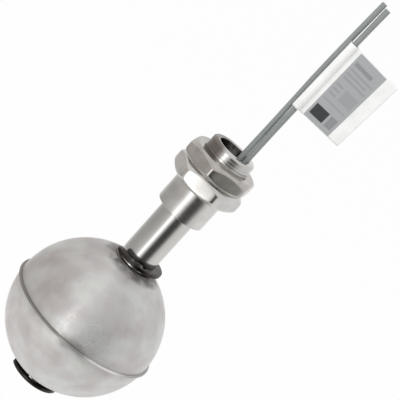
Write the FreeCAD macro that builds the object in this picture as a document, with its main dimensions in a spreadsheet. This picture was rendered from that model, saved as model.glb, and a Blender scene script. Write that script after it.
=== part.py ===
import FreeCAD, Part
import math
import os
import Sketcher
from FreeCAD import Placement, Rotation, Vector

# Float level switch: a hollow steel ball with a ring magnet slides on a thin stem between two
# E-clips and closes a reed switch that sits in the stem. A hex fitting with a threaded stub
# and a jam nut holds it in a tank wall, and two lead wires come out of the stub.
#
# Frame: +Z runs along the stem, towards the wires. The origin lies on the axis where the free
# thread begins, just above the seated jam nut. The ball's pieces, the reed switch's pieces and
# the E-clips are drawn about their own middle or foot and are then placed.
# Millimetres and degrees.

doc = FreeCAD.newDocument("float_level_switch")

# ---------------------------------------------------------------- driving sizes
SIZES = (
    ("seat_gap", 0.02, "between pieces that are joined or seated"),
    ("thread_dia", 16.0, "outside of the stub's thread"),
    ("thread_free", 4.1, "free thread beyond the seated nut"),
    ("thread_chamfer", 0.6, "lead-in at the stub's end"),
    ("engaged_depth", 0.4, "from the crest to the pitch line, where the nut is engaged"),
    ("stub_bore", 11.4, "bore through the stub"),
    ("hex_flats", 22.2, "hexagon of the fitting, across flats"),
    ("hex_face_dia", 21.2, "flat round face at either end of that hexagon"),
    ("hex_thick", 6.1, "height of that hexagon"),
    ("hex_turn", 26.0, "turn of that hexagon about the axis"),
    ("corner_drop", 1.3, "height of the chamfer on the hexagons' corners"),
    ("collar_dia", 17.0, "round collar under the hexagon"),
    ("collar_length", 10.2, "height of the collar"),
    ("collar_edge", 0.4, "chamfer at the collar's lower edge"),
    ("socket_depth", 14.0, "how far the stem goes into the fitting"),
    ("nut_flats", 22.7, "jam nut, across flats"),
    ("nut_face_dia", 21.7, "flat round face at either end of the nut"),
    ("nut_thick", 5.7, "jam nut, height"),
    ("nut_turn", -5.5, "turn of the jam nut about the axis"),
    ("nut_gap", 0.05, "between the nut's bore and the thread's crest"),
    ("nut_bore_edge", 0.5, "countersink at the nut's bore"),
    ("nut_clear", 0.1, "from the seated nut's top face to the free thread"),
    ("stem_dia", 12.0, "outside of the stem"),
    ("stem_wall", 1.2, "wall of the stem"),
    ("stem_edge", 0.3, "chamfer at the stem's lower end"),
    ("stem_below_clip", 1.4, "stem left below the lower clip"),
    ("plug_thick", 2.0, "disc that closes the stem"),
    ("plug_recess", 0.2, "how far the disc sits inside the stem's end"),
    ("float_below_collar", 47.1, "from the collar's lower edge to the float's centre"),
    ("float_dia", 50.8, "outside of the ball"),
    ("shell_wall", 0.7, "wall of the ball"),
    ("seam_proud", 0.95, "height of the weld bead round the ball's equator"),
    ("seam_width", 0.9, "width of that bead"),
    ("seam_round", 0.35, "rounding of its outer edges"),
    ("guide_gap", 0.45, "between the float's guide tube and the stem"),
    ("guide_wall", 0.8, "wall of the guide tube"),
    ("guide_proud", 0.5, "how far the guide tube stands out of the ball"),
    ("guide_edge", 0.25, "chamfer at the guide tube's ends"),
    ("float_travel", 1.4, "slide of the float between the clips"),
    ("clip_play", 0.1, "room left between float and clip at either stop"),
    ("magnet_dia", 24.0, "outside of the ring magnet"),
    ("magnet_length", 12.0, "height of the ring magnet"),
    ("magnet_edge", 0.5, "chamfer on the magnet's outer edges"),
    ("magnet_gap", 0.1, "between magnet or spacer and the guide tube"),
    ("spacer_dia", 18.0, "outside of the tubes that hold the magnet in the middle"),
    ("clip_thick", 1.1, "thickness of the E-clips"),
    ("clip_groove", 0.5, "depth of their grooves in the stem"),
    ("clip_side_gap", 0.05, "between a clip and its groove, all round"),
    ("clip_dia", 18.0, "outside of a clip"),
    ("clip_opening", 9.6, "opening between a clip's two tips"),
    ("clip_tip_round", 1.3, "rounding of the tips' outer corners"),
    ("pocket_dia", 4.2, "round pocket on either side of a clip's middle tooth"),
    ("pocket_out", 5.6, "from the axis to the middle of a pocket"),
    ("pocket_turn", 118.0, "from a clip's opening round to a pocket"),
    ("upper_clip_turn", 172.0, "way in which the upper clip's opening faces"),
    ("lower_clip_turn", 160.0, "way in which the lower clip's opening faces"),
    ("glass_dia", 2.4, "glass tube of the reed switch"),
    ("glass_length", 15.0, "length of that tube"),
    ("glass_wall", 0.35, "wall of that tube"),
    ("glass_seal", 2.0, "length of the solid glass at each end"),
    ("glass_round", 0.5, "rounding of the glass ends"),
    ("blade_width", 1.0, "width of a reed"),
    ("blade_thick", 0.25, "thickness of a reed"),
    ("blade_overlap", 1.2, "overlap of the two reeds"),
    ("blade_gap", 0.15, "open contact gap between the reeds"),
    ("blade_root", 0.4, "from a reed's flat to the solid glass"),
    ("reed_lead_dia", 0.6, "round lead of a reed"),
    ("potting_above", 6.0, "resin above the reed's glass"),
    ("turn_room", 3.4, "room below the resin for the return lead's turn"),
    ("turn_clear", 1.0, "from that turn to the end disc"),
    ("return_offset", 2.4, "from the axis to the return lead"),
    ("splice_dia", 2.8, "crimp sleeve, outside"),
    ("splice_length", 8.0, "crimp sleeve, length"),
    ("splice_above", 4.0, "from the resin to the first crimp sleeve"),
    ("splice_stagger", 11.0, "from the first crimp sleeve's foot to the second's"),
    ("wire_dia", 1.85, "lead wire over its insulation"),
    ("wire_pitch", 1.93, "between the two lead wires"),
    ("wire_offset", 3.7, "from the axis to the middle of the pair"),
    ("bend_below", 6.0, "from the seal's top to the upper bend of the inner leads"),
    ("bend_length", 5.5, "height over which the inner leads shift sideways"),
    ("bend_stagger", 1.0, "how much lower the outer lead bends"),
    ("seal_recess", 3.1, "depth of the resin seal below the stub's end"),
    ("seal_thick", 3.5, "thickness of the resin seal"),
    ("wire_foot_z", 8.6, "height up to which the wires stand straight"),
    ("wire_low_z", 21.6, "height of the wires' lower bend"),
    ("wire_high_z", 44.6, "height of the wires' upper bend"),
    ("wire_a_end_z", 67.3, "height at which wire a is cut off"),
    ("wire_b_end_z", 66.5, "height at which wire b is cut off"),
    ("wire_a_low_shift", 0.215, "sideways shift of wire a at its lower bend"),
    ("wire_a_high_shift", 0.185, "the same at its upper bend"),
    ("wire_a_end_shift", 1.165, "the same at its end"),
    ("wire_b_low_shift", 0.1, "sideways shift of wire b at its lower bend"),
    ("wire_b_high_shift", 0.505, "the same at its upper bend"),
    ("wire_b_end_shift", 1.265, "the same at its end"),
    ("wire_a_back", 1.8, "how far wire a goes round the back of the flag label"),
    ("label_low_z", 26.6, "height at which the flag label starts"),
    ("label_shift", 0.19, "sideways shift of wire b at that height"),
    ("label_length", 25.9, "flag label along the wire"),
    ("label_edge_length", 25.1, "the same at the flag's far edge"),
    ("label_reach_low", 17.1, "from the wire to the flag's far edge, at its lower end"),
    ("label_reach_high", 18.3, "the same at its upper end"),
    ("label_film", 0.1, "one layer of the label's film"),
    ("label_gap", 0.45, "between the wire and the film round it"),
    ("label_tilt", 1.35, "lean of the label with its wire"),
)

sizes = doc.addObject("Spreadsheet::Sheet", "sizes")
for row, (alias, number, note) in enumerate(SIZES, 1):
    sizes.set("A%d" % row, note)
    sizes.set("B%d" % row, str(number))
    sizes.setAlias("B%d" % row, alias)
doc.recompute()

# ---------------------------------------------------------------- radii and levels that follow
PLACES = (
    ("thread_r", "sizes.thread_dia / 2"),
    ("thread_tip_r", "thread_r - sizes.thread_chamfer"),
    ("engaged_r", "thread_r - sizes.engaged_depth"),
    ("stub_bore_r", "sizes.stub_bore / 2"),
    ("stub_end_z", "sizes.thread_free + 0"),
    ("stub_edge_z", "stub_end_z - sizes.thread_chamfer"),
    ("nut_top_z", "0 - sizes.nut_clear"),
    ("seat_z", "nut_top_z - sizes.nut_thick"),
    ("hex_low_z", "seat_z - sizes.hex_thick"),
    ("hex_mid_z", "seat_z - sizes.hex_thick / 2"),
    ("collar_low_z", "hex_low_z - sizes.collar_length"),
    ("collar_edge_z", "collar_low_z + sizes.collar_edge"),
    ("collar_r", "sizes.collar_dia / 2"),
    ("collar_face_r", "collar_r - sizes.collar_edge"),
    ("stem_r", "sizes.stem_dia / 2"),
    ("stem_bore_r", "stem_r - sizes.stem_wall"),
    ("socket_r", "stem_r + sizes.seat_gap"),
    ("socket_top_z", "collar_low_z + sizes.socket_depth"),
    ("bore_start_z", "collar_low_z - 1"),
    ("bore_end_z", "stub_end_z + 1"),
    ("hex_flat_r", "sizes.hex_flats / 2"),
    ("hex_face_r", "sizes.hex_face_dia / 2"),
    ("hex_side", "hex_flat_r / sqrt(3)"),
    ("hex_corner_r", "hex_side * 2"),
    ("hex_cut_r", "hex_corner_r * 1.05"),
    ("hex_cut_drop", "sizes.corner_drop * (hex_cut_r - hex_face_r) / (hex_corner_r - hex_face_r)"),
    ("hex_upper_cut_z", "seat_z - hex_cut_drop"),
    ("hex_lower_cut_z", "hex_low_z + hex_cut_drop"),
    ("nut_flat_r", "sizes.nut_flats / 2"),
    ("nut_face_r", "sizes.nut_face_dia / 2"),
    ("nut_side", "nut_flat_r / sqrt(3)"),
    ("nut_corner_r", "nut_side * 2"),
    ("nut_cut_r", "nut_corner_r * 1.05"),
    ("nut_cut_drop", "sizes.corner_drop * (nut_cut_r - nut_face_r) / (nut_corner_r - nut_face_r)"),
    ("nut_upper_cut_z", "nut_top_z - nut_cut_drop"),
    ("nut_lower_cut_z", "seat_z + nut_cut_drop"),
    ("nut_bore_r", "thread_r + sizes.nut_gap"),
    ("nut_mouth_r", "nut_bore_r + sizes.nut_bore_edge"),
    ("nut_upper_edge_z", "nut_top_z - sizes.nut_bore_edge"),
    ("nut_lower_edge_z", "seat_z + sizes.nut_bore_edge"),
    ("float_z", "collar_low_z - sizes.float_below_collar"),
    ("float_r", "sizes.float_dia / 2"),
    ("float_inner_r", "float_r - sizes.shell_wall"),
    ("seam_root_r", "float_r + sizes.seat_gap"),
    ("seam_r", "float_r + sizes.seam_proud"),
    ("seam_half", "sizes.seam_width / 2"),
    ("guide_bore_r", "stem_r + sizes.guide_gap"),
    ("guide_r", "guide_bore_r + sizes.guide_wall"),
    ("hub_r", "guide_r + sizes.seat_gap"),
    ("hub_z", "sqrt(float_r * float_r - hub_r * hub_r)"),
    ("guide_half", "hub_z + sizes.guide_proud"),
    ("magnet_bore_r", "guide_r + sizes.magnet_gap"),
    ("magnet_r", "sizes.magnet_dia / 2"),
    ("magnet_half", "sizes.magnet_length / 2"),
    ("spacer_r", "sizes.spacer_dia / 2"),
    ("spacer_low_z", "magnet_half + sizes.seat_gap"),
    ("spacer_high_z", "sqrt(float_inner_r * float_inner_r - spacer_r * spacer_r) - sizes.seat_gap"),
    ("upper_clip_z", "float_z + guide_half + sizes.float_travel + sizes.clip_play"),
    ("lower_clip_z", "float_z - guide_half - sizes.clip_play - sizes.clip_thick"),
    ("groove_r", "stem_r - sizes.clip_groove"),
    ("groove_out_r", "stem_r + 1"),
    ("upper_groove_low_z", "upper_clip_z - sizes.clip_side_gap"),
    ("upper_groove_high_z", "upper_clip_z + sizes.clip_thick + sizes.clip_side_gap"),
    ("lower_groove_low_z", "lower_clip_z - sizes.clip_side_gap"),
    ("lower_groove_high_z", "lower_clip_z + sizes.clip_thick + sizes.clip_side_gap"),
    ("clip_bore_r", "groove_r + sizes.clip_side_gap"),
    ("clip_r", "sizes.clip_dia / 2"),
    ("opening_half", "sizes.clip_opening / 2"),
    ("opening_end_x", "clip_r + 1"),
    ("pocket_r", "sizes.pocket_dia / 2"),
    ("pocket_x", "sizes.pocket_out * cos(sizes.pocket_turn)"),
    ("pocket_y", "sizes.pocket_out * sin(sizes.pocket_turn)"),
    ("stem_low_z", "lower_clip_z - sizes.stem_below_clip"),
    ("stem_edge_z", "stem_low_z + sizes.stem_edge"),
    ("stem_face_r", "stem_r - sizes.stem_edge"),
    ("stem_top_z", "socket_top_z - sizes.seat_gap"),
    ("plug_low_z", "stem_low_z + sizes.plug_recess"),
    ("plug_r", "stem_bore_r - sizes.seat_gap"),
    ("plug_top_z", "plug_low_z + sizes.plug_thick"),
    ("glass_r", "sizes.glass_dia / 2"),
    ("glass_bore_r", "glass_r - sizes.glass_wall"),
    ("glass_half", "sizes.glass_length / 2"),
    ("chamber_half", "glass_half - sizes.glass_seal"),
    ("reed_lead_r", "sizes.reed_lead_dia / 2"),
    ("lead_hole_r", "reed_lead_r + sizes.seat_gap"),
    ("potting_r", "stem_bore_r - sizes.seat_gap"),
    ("potting_low_z", "plug_top_z + sizes.turn_room"),
    ("potting_high_z", "float_z + glass_half + sizes.potting_above"),
    ("potting_foot", "potting_low_z - float_z"),
    ("potting_head", "potting_high_z - float_z"),
    ("cavity_r", "glass_r + sizes.seat_gap"),
    ("cavity_half", "glass_half + sizes.seat_gap"),
    ("blade_near", "sizes.blade_gap / 2"),
    ("blade_far", "blade_near + sizes.blade_thick"),
    ("blade_tip", "sizes.blade_overlap / 2"),
    ("blade_end", "chamber_half - sizes.blade_root"),
    ("lead_start", "blade_end - sizes.blade_root"),
    ("turn_z", "plug_top_z + sizes.turn_clear"),
    ("splice_r", "sizes.splice_dia / 2"),
    ("splice_middle", "sizes.splice_length / 2"),
    ("splice_a_z", "potting_high_z + sizes.splice_above"),
    ("splice_b_z", "splice_a_z + sizes.splice_stagger"),
    ("upper_lead_length", "splice_a_z + splice_middle - sizes.seat_gap - float_z - lead_start"),
    ("lower_lead_length", "float_z - lead_start - potting_low_z"),
    ("wire_r", "sizes.wire_dia / 2"),
    ("wire_hole_r", "wire_r + sizes.seat_gap"),
    ("wire_a_x", "sizes.wire_offset - sizes.wire_pitch / 2"),
    ("wire_b_x", "sizes.wire_offset + sizes.wire_pitch / 2"),
    ("seal_r", "stub_bore_r - sizes.seat_gap"),
    ("seal_top_z", "stub_end_z - sizes.seal_recess"),
    ("seal_low_z", "seal_top_z - sizes.seal_thick"),
    ("label_x", "wire_b_x + sizes.label_shift"),
    ("label_bore_r", "wire_r + sizes.label_gap"),
    ("label_r", "label_bore_r + sizes.label_film"),
)

places = doc.addObject("Spreadsheet::Sheet", "places")
for row, (alias, formula) in enumerate(PLACES, 1):
    places.set("A%d" % row, "=" + formula)
    places.setAlias("A%d" % row, alias)
doc.recompute()


def value(name):
    """Number behind "sizes.alias" or "places.alias", also with a minus sign; "0" is zero."""
    if name == "0":
        return 0.0
    if name.startswith("-"):
        return -value(name[1:])
    sheet, alias = name.split(".")
    return float(doc.getObject(sheet).get(alias))


# ---------------------------------------------------------------- helpers
def new_body(label, height=None, turn=None, axis=Vector(0, 0, 1)):
    """Body that is placed at a named height and turned by a named angle about an axis."""
    body = doc.addObject("PartDesign::Body", label)
    body.Label = label
    if turn:
        body.Placement = Placement(Vector(), Rotation(axis, value(turn)))
        body.setExpression("Placement.Rotation.Angle", turn)
    if height:
        body.setExpression("Placement.Base.z", height)
    return body


def new_sketch(body, name, role, height=None, turn=None):
    """Sketch on one of the body's own planes, raised and turned by named values."""
    sketch = body.newObject("Sketcher::SketchObject", name)
    plane = next(item for item in body.Origin.OriginFeatures if item.Role == role)
    sketch.AttachmentSupport = (plane, [""])
    sketch.MapMode = "FlatFace"
    if turn:
        sketch.AttachmentOffset = Placement(Vector(), Rotation(Vector(0, 0, 1), value(turn)))
        sketch.setExpression("AttachmentOffset.Rotation.Angle", turn)
    if height:
        sketch.setExpression("AttachmentOffset.Base.z", height)
    return sketch


def tie(sketch, *constraint):
    """Driving dimension of a sketch that follows a named value, the last argument."""
    name = constraint[-1]
    index = sketch.addConstraint(Sketcher.Constraint(*constraint[:-1], value(name)))
    sketch.setExpression("Constraints[%d]" % index, name)


def tie_point(sketch, edge, end, across, along):
    """Hold one point of an edge at two named distances from the sketch's origin."""
    for kind, axis, name in (("DistanceX", -2, across), ("DistanceY", -1, along)):
        if name == "0":
            sketch.addConstraint(Sketcher.Constraint("PointOnObject", edge, end, axis))
        else:
            tie(sketch, kind, -1, 1, edge, end, name)


def polygon(sketch, *corners):
    """Closed loop of lines with its corners at named values."""
    points = [Vector(value(across), value(along), 0) for across, along in corners]
    first, count = sketch.GeometryCount, len(points)
    for number in range(count):
        sketch.addGeometry(Part.LineSegment(points[number], points[(number + 1) % count]))
    for number, (across, along) in enumerate(corners):
        after = first + (number + 1) % count
        sketch.addConstraint(Sketcher.Constraint("Coincident", first + number, 2, after, 1))
        tie_point(sketch, first + number, 1, across, along)


def circle(sketch, across, along, radius):
    """Circle with its centre and radius at named values."""
    centre = Vector(value(across), value(along), 0)
    index = sketch.addGeometry(Part.Circle(centre, Vector(0, 0, 1), value(radius)))
    tie_point(sketch, index, 3, across, along)
    tie(sketch, "Radius", index, radius)


def turned(body, kind, name, *corners):
    """Revolution or Groove of a closed profile of radii and heights about the body's axis."""
    sketch = new_sketch(body, name + "_profile", "XZ_Plane")
    polygon(sketch, *corners)
    feature = body.newObject("PartDesign::" + kind, name)
    feature.Profile = sketch
    feature.ReferenceAxis = (sketch, ["V_Axis"])
    feature.Angle = 360
    doc.recompute()
    return feature


def tube(body, name, inner, outer, low, high):
    """Ring or tube between two radii and two heights."""
    return turned(body, "Revolution", name, (inner, low), (outer, low), (outer, high), (inner, high))


def padded(body, sketch, name, length, both_ways=False):
    """Pad of a sketch, by a named length."""
    feature = body.newObject("PartDesign::Pad", name)
    feature.Profile = sketch
    feature.setExpression("Length", length)
    feature.Midplane = both_ways
    doc.recompute()
    return feature


def cut_through(body, sketch, name):
    """Pocket of a sketch through the whole body, both ways, which has to take material off."""
    before = body.Shape.Volume
    feature = body.newObject("PartDesign::Pocket", name)
    feature.Profile = sketch
    feature.Type = "ThroughAll"
    feature.Midplane = True
    doc.recompute()
    if not feature.Shape.Volume < before - 1e-6:
        raise RuntimeError(name + " took nothing off")
    return feature


def eased(body, kind, name, base, size, wanted):
    """Fillet or Chamfer by a named size on the edges of a feature that are wanted."""
    feature = body.newObject("PartDesign::" + kind, name)
    edges = ["Edge%d" % n for n, edge in enumerate(base.Shape.Edges, 1) if wanted(edge)]
    feature.Base = (base, edges)
    feature.setExpression("Radius" if kind == "Fillet" else "Size", size)
    doc.recompute()
    return feature


def is_ring(edge, radius):
    """True for a whole circle of a named radius."""
    round_edge = isinstance(edge.Curve, Part.Circle) and edge.isClosed()
    return round_edge and abs(edge.Curve.Radius - value(radius)) < 1e-4


def is_upright(edge, radius):
    """True for a straight upright edge at a named radius from the body's axis."""
    foot, head = edge.Vertexes[0].Point, edge.Vertexes[-1].Point
    reach = math.hypot(foot.x, foot.y)
    return abs(foot.z - head.z) > 1e-4 and abs(reach - value(radius)) < 1e-4 > abs(
        math.hypot(head.x, head.y) - reach)


def hexagon(body, name, low, height, turn, flat, side, corner):
    """Hexagonal Pad that stands on a named height."""
    sketch = new_sketch(body, name + "_outline", "XY_Plane", low, turn)
    polygon(sketch, (flat, "-" + side), (flat, side), ("0", corner),
            ("-" + flat, side), ("-" + flat, "-" + side), ("0", "-" + corner))
    padded(body, sketch, name, height)


# ---------------------------------------------------------------- fitting and jam nut
fitting = new_body("mounting_fitting")
turned(fitting, "Revolution", "collar_and_stub",
       ("0", "places.collar_low_z"),
       ("places.collar_face_r", "places.collar_low_z"),
       ("places.collar_r", "places.collar_edge_z"),
       ("places.collar_r", "places.hex_mid_z"),
       ("places.engaged_r", "places.hex_mid_z"),
       ("places.engaged_r", "0"),
       ("places.thread_r", "0"),
       ("places.thread_r", "places.stub_edge_z"),
       ("places.thread_tip_r", "places.stub_end_z"),
       ("0", "places.stub_end_z"))
hexagon(fitting, "fitting_hexagon", "places.hex_low_z", "sizes.hex_thick", "sizes.hex_turn",
        "places.hex_flat_r", "places.hex_side", "places.hex_corner_r")
turned(fitting, "Groove", "hexagon_upper_corners",
       ("places.hex_face_r", "places.seat_z"),
       ("places.hex_cut_r", "places.seat_z"),
       ("places.hex_cut_r", "places.hex_upper_cut_z"))
turned(fitting, "Groove", "hexagon_lower_corners",
       ("places.hex_face_r", "places.hex_low_z"),
       ("places.hex_cut_r", "places.hex_low_z"),
       ("places.hex_cut_r", "places.hex_lower_cut_z"))
turned(fitting, "Groove", "socket_and_bore",
       ("0", "places.bore_start_z"),
       ("places.socket_r", "places.bore_start_z"),
       ("places.socket_r", "places.socket_top_z"),
       ("places.stub_bore_r", "places.socket_top_z"),
       ("places.stub_bore_r", "places.bore_end_z"),
       ("0", "places.bore_end_z"))

nut = new_body("jam_nut")
hexagon(nut, "nut_hexagon", "places.seat_z", "sizes.nut_thick", "sizes.nut_turn",
        "places.nut_flat_r", "places.nut_side", "places.nut_corner_r")
turned(nut, "Groove", "nut_upper_corners",
       ("places.nut_face_r", "places.nut_top_z"),
       ("places.nut_cut_r", "places.nut_top_z"),
       ("places.nut_cut_r", "places.nut_upper_cut_z"))
turned(nut, "Groove", "nut_lower_corners",
       ("places.nut_face_r", "places.seat_z"),
       ("places.nut_cut_r", "places.seat_z"),
       ("places.nut_cut_r", "places.nut_lower_cut_z"))
turned(nut, "Groove", "nut_bore",
       ("0", "places.seat_z"),
       ("places.nut_mouth_r", "places.seat_z"),
       ("places.nut_bore_r", "places.nut_lower_edge_z"),
       ("places.nut_bore_r", "places.nut_upper_edge_z"),
       ("places.nut_mouth_r", "places.nut_top_z"),
       ("0", "places.nut_top_z"))

# ---------------------------------------------------------------- stem
stem = new_body("stem_tube")
turned(stem, "Revolution", "stem_wall_ring",
       ("places.stem_bore_r", "places.stem_low_z"),
       ("places.stem_face_r", "places.stem_low_z"),
       ("places.stem_r", "places.stem_edge_z"),
       ("places.stem_r", "places.stem_top_z"),
       ("places.stem_bore_r", "places.stem_top_z"))
for side in ("upper", "lower"):
    low, high = ("places.%s_groove_%s_z" % (side, end) for end in ("low", "high"))
    turned(stem, "Groove", side + "_clip_groove",
           ("places.groove_r", low), ("places.groove_out_r", low),
           ("places.groove_out_r", high), ("places.groove_r", high))

plug = new_body("stem_end_plug")
tube(plug, "end_disc", "0", "places.plug_r", "places.plug_low_z", "places.plug_top_z")


# ---------------------------------------------------------------- E-clips
def e_clip(label, height, turn):
    """E-clip: a wide open ring that grips its groove with two tips and a tooth between them."""
    body = new_body(label, height, turn)
    blank = new_sketch(body, label + "_blank", "XY_Plane")
    circle(blank, "0", "0", "places.clip_r")
    padded(body, blank, label + "_disc", "sizes.clip_thick")
    bore = new_sketch(body, label + "_bore_outline", "XY_Plane")
    circle(bore, "0", "0", "places.clip_bore_r")
    cut_through(body, bore, label + "_bore")
    pockets = new_sketch(body, label + "_pocket_outlines", "XY_Plane")
    circle(pockets, "places.pocket_x", "places.pocket_y", "places.pocket_r")
    circle(pockets, "places.pocket_x", "-places.pocket_y", "places.pocket_r")
    cut_through(body, pockets, label + "_pockets")
    opening = new_sketch(body, label + "_opening_outline", "XY_Plane")
    polygon(opening, ("0", "-places.opening_half"), ("places.opening_end_x", "-places.opening_half"),
            ("places.opening_end_x", "places.opening_half"), ("0", "places.opening_half"))
    tips = cut_through(body, opening, label + "_opening")
    eased(body, "Fillet", label + "_tips", tips, "sizes.clip_tip_round",
          lambda edge: is_upright(edge, "places.clip_r"))


e_clip("upper_clip", "places.upper_clip_z", "sizes.upper_clip_turn")
e_clip("lower_clip", "places.lower_clip_z", "sizes.lower_clip_turn")


# ---------------------------------------------------------------- ball float, about its centre
def half_shell(label):
    """Thin half of the ball, open at the equator and pierced at its pole for the guide tube."""
    body = new_body(label, "places.float_z")
    sketch = new_sketch(body, label + "_profile", "XZ_Plane")
    outer_r, inner_r, hub_r = (value("places." + name) for name in
                               ("float_r", "float_inner_r", "hub_r"))
    ends = []
    for radius, name in ((outer_r, "places.float_r"), (inner_r, "places.float_inner_r")):
        round_line = Part.Circle(Vector(), Vector(0, 0, 1), radius)
        arc = sketch.addGeometry(Part.ArcOfCircle(round_line, 0, math.acos(hub_r / radius)))
        sketch.addConstraint(Sketcher.Constraint("Coincident", arc, 3, -1, 1))
        sketch.addConstraint(Sketcher.Constraint("PointOnObject", arc, 1, -1))
        tie(sketch, "Radius", arc, name)
        tie(sketch, "DistanceX", -1, 1, arc, 2, "places.hub_r")
        ends.append((arc, radius, math.sqrt(radius ** 2 - hub_r ** 2)))
    (outer, outer_x, outer_z), (inner, inner_x, inner_z) = ends
    rim = sketch.addGeometry(Part.LineSegment(Vector(inner_x, 0, 0), Vector(outer_x, 0, 0)))
    hub = sketch.addGeometry(Part.LineSegment(Vector(hub_r, outer_z, 0), Vector(hub_r, inner_z, 0)))
    for edge, end, other, other_end in ((rim, 1, inner, 1), (rim, 2, outer, 1),
                                        (hub, 1, outer, 2), (hub, 2, inner, 2)):
        sketch.addConstraint(Sketcher.Constraint("Coincident", edge, end, other, other_end))
    shell = body.newObject("PartDesign::Revolution", label + "_bowl")
    shell.Profile = sketch
    shell.ReferenceAxis = (sketch, ["V_Axis"])
    shell.Angle = 360
    doc.recompute()
    return body


half_shell("float_upper_shell")
lower_shell = half_shell("float_lower_shell")
lower_shell.Placement = Placement(Vector(), Rotation(Vector(1, 0, 0), 180))
doc.recompute()

seam = new_body("float_weld_seam", "places.float_z")
bead = tube(seam, "weld_bead", "places.seam_root_r", "places.seam_r",
            "-places.seam_half", "places.seam_half")
eased(seam, "Fillet", "bead_rounding", bead, "sizes.seam_round",
      lambda edge: is_ring(edge, "places.seam_r"))

guide = new_body("float_guide_tube", "places.float_z")
sleeve = tube(guide, "guide_sleeve", "places.guide_bore_r", "places.guide_r",
              "-places.guide_half", "places.guide_half")
eased(guide, "Chamfer", "guide_lead_ins", sleeve, "sizes.guide_edge",
      lambda edge: is_ring(edge, "places.guide_r") or is_ring(edge, "places.guide_bore_r"))

magnet = new_body("ring_magnet", "places.float_z")
ring = tube(magnet, "magnet_ring", "places.magnet_bore_r", "places.magnet_r",
            "-places.magnet_half", "places.magnet_half")
eased(magnet, "Chamfer", "magnet_edges", ring, "sizes.magnet_edge",
      lambda edge: is_ring(edge, "places.magnet_r"))

for side, sign in (("upper", ""), ("lower", "-")):
    spacer = new_body("magnet_spacer_" + side, "places.float_z")
    tube(spacer, side + "_spacer_tube", "places.magnet_bore_r", "places.spacer_r",
         sign + "places.spacer_low_z", sign + "places.spacer_high_z")

# ---------------------------------------------------------------- reed switch, about its middle
glass = new_body("reed_glass", "places.float_z")
envelope = tube(glass, "glass_envelope", "0", "places.glass_r",
                "-places.glass_half", "places.glass_half")
eased(glass, "Fillet", "glass_ends", envelope, "sizes.glass_round",
      lambda edge: is_ring(edge, "places.glass_r"))
turned(glass, "Groove", "glass_chamber",
       ("0", "-places.glass_half"), ("places.lead_hole_r", "-places.glass_half"),
       ("places.lead_hole_r", "-places.chamber_half"),
       ("places.glass_bore_r", "-places.chamber_half"),
       ("places.glass_bore_r", "places.chamber_half"),
       ("places.lead_hole_r", "places.chamber_half"),
       ("places.lead_hole_r", "places.glass_half"), ("0", "places.glass_half"))

for side, flat_side, sign in (("upper", "-", ""), ("lower", "", "-")):
    reed = new_body("reed_blade_" + side, "places.float_z")
    flat = new_sketch(reed, side + "_flat_outline", "XZ_Plane")
    near, far = flat_side + "places.blade_near", flat_side + "places.blade_far"
    tip, end = ("-" if sign == "" else "") + "places.blade_tip", sign + "places.blade_end"
    polygon(flat, (near, tip), (far, tip), (far, end), (near, end))
    padded(reed, flat, side + "_flat", "sizes.blade_width", both_ways=True)
    lead = new_sketch(reed, side + "_lead_outline", "XY_Plane", sign + "places.lead_start")
    circle(lead, "0", "0", "places.reed_lead_r")
    lead_pad = padded(reed, lead, side + "_lead", "places.%s_lead_length" % side)
    lead_pad.Reversed = side == "lower"

potting = new_body("reed_potting", "places.float_z")
turned(potting, "Revolution", "potting_column",
       ("places.lead_hole_r", "places.potting_foot"),
       ("places.potting_r", "places.potting_foot"),
       ("places.potting_r", "places.potting_head"),
       ("places.lead_hole_r", "places.potting_head"),
       ("places.lead_hole_r", "places.cavity_half"),
       ("places.cavity_r", "places.cavity_half"),
       ("places.cavity_r", "-places.cavity_half"),
       ("places.lead_hole_r", "-places.cavity_half"))
return_hole = new_sketch(potting, "return_hole_outline", "XY_Plane")
circle(return_hole, "sizes.return_offset", "0", "places.lead_hole_r")
cut_through(potting, return_hole, "return_hole")

for letter in ("a", "b"):
    crimp = new_body("splice_sleeve_" + letter, "places.splice_%s_z" % letter)
    if letter == "b":
        crimp.setExpression("Placement.Base.x", "sizes.return_offset")
    turned(crimp, "Revolution", "crimp_" + letter,
           ("places.lead_hole_r", "0"), ("places.splice_r", "0"),
           ("places.splice_r", "sizes.splice_length"),
           ("places.wire_hole_r", "sizes.splice_length"),
           ("places.wire_hole_r", "places.splice_middle"),
           ("places.lead_hole_r", "places.splice_middle"))

# ---------------------------------------------------------------- resin seal in the stub
seal = new_body("potting_seal")
tube(seal, "seal_disc", "0", "places.seal_r", "places.seal_low_z", "places.seal_top_z")
wire_holes = new_sketch(seal, "wire_hole_outlines", "XY_Plane")
circle(wire_holes, "places.wire_a_x", "0", "places.wire_hole_r")
circle(wire_holes, "places.wire_b_x", "0", "places.wire_hole_r")
cut_through(seal, wire_holes, "wire_holes")


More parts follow.
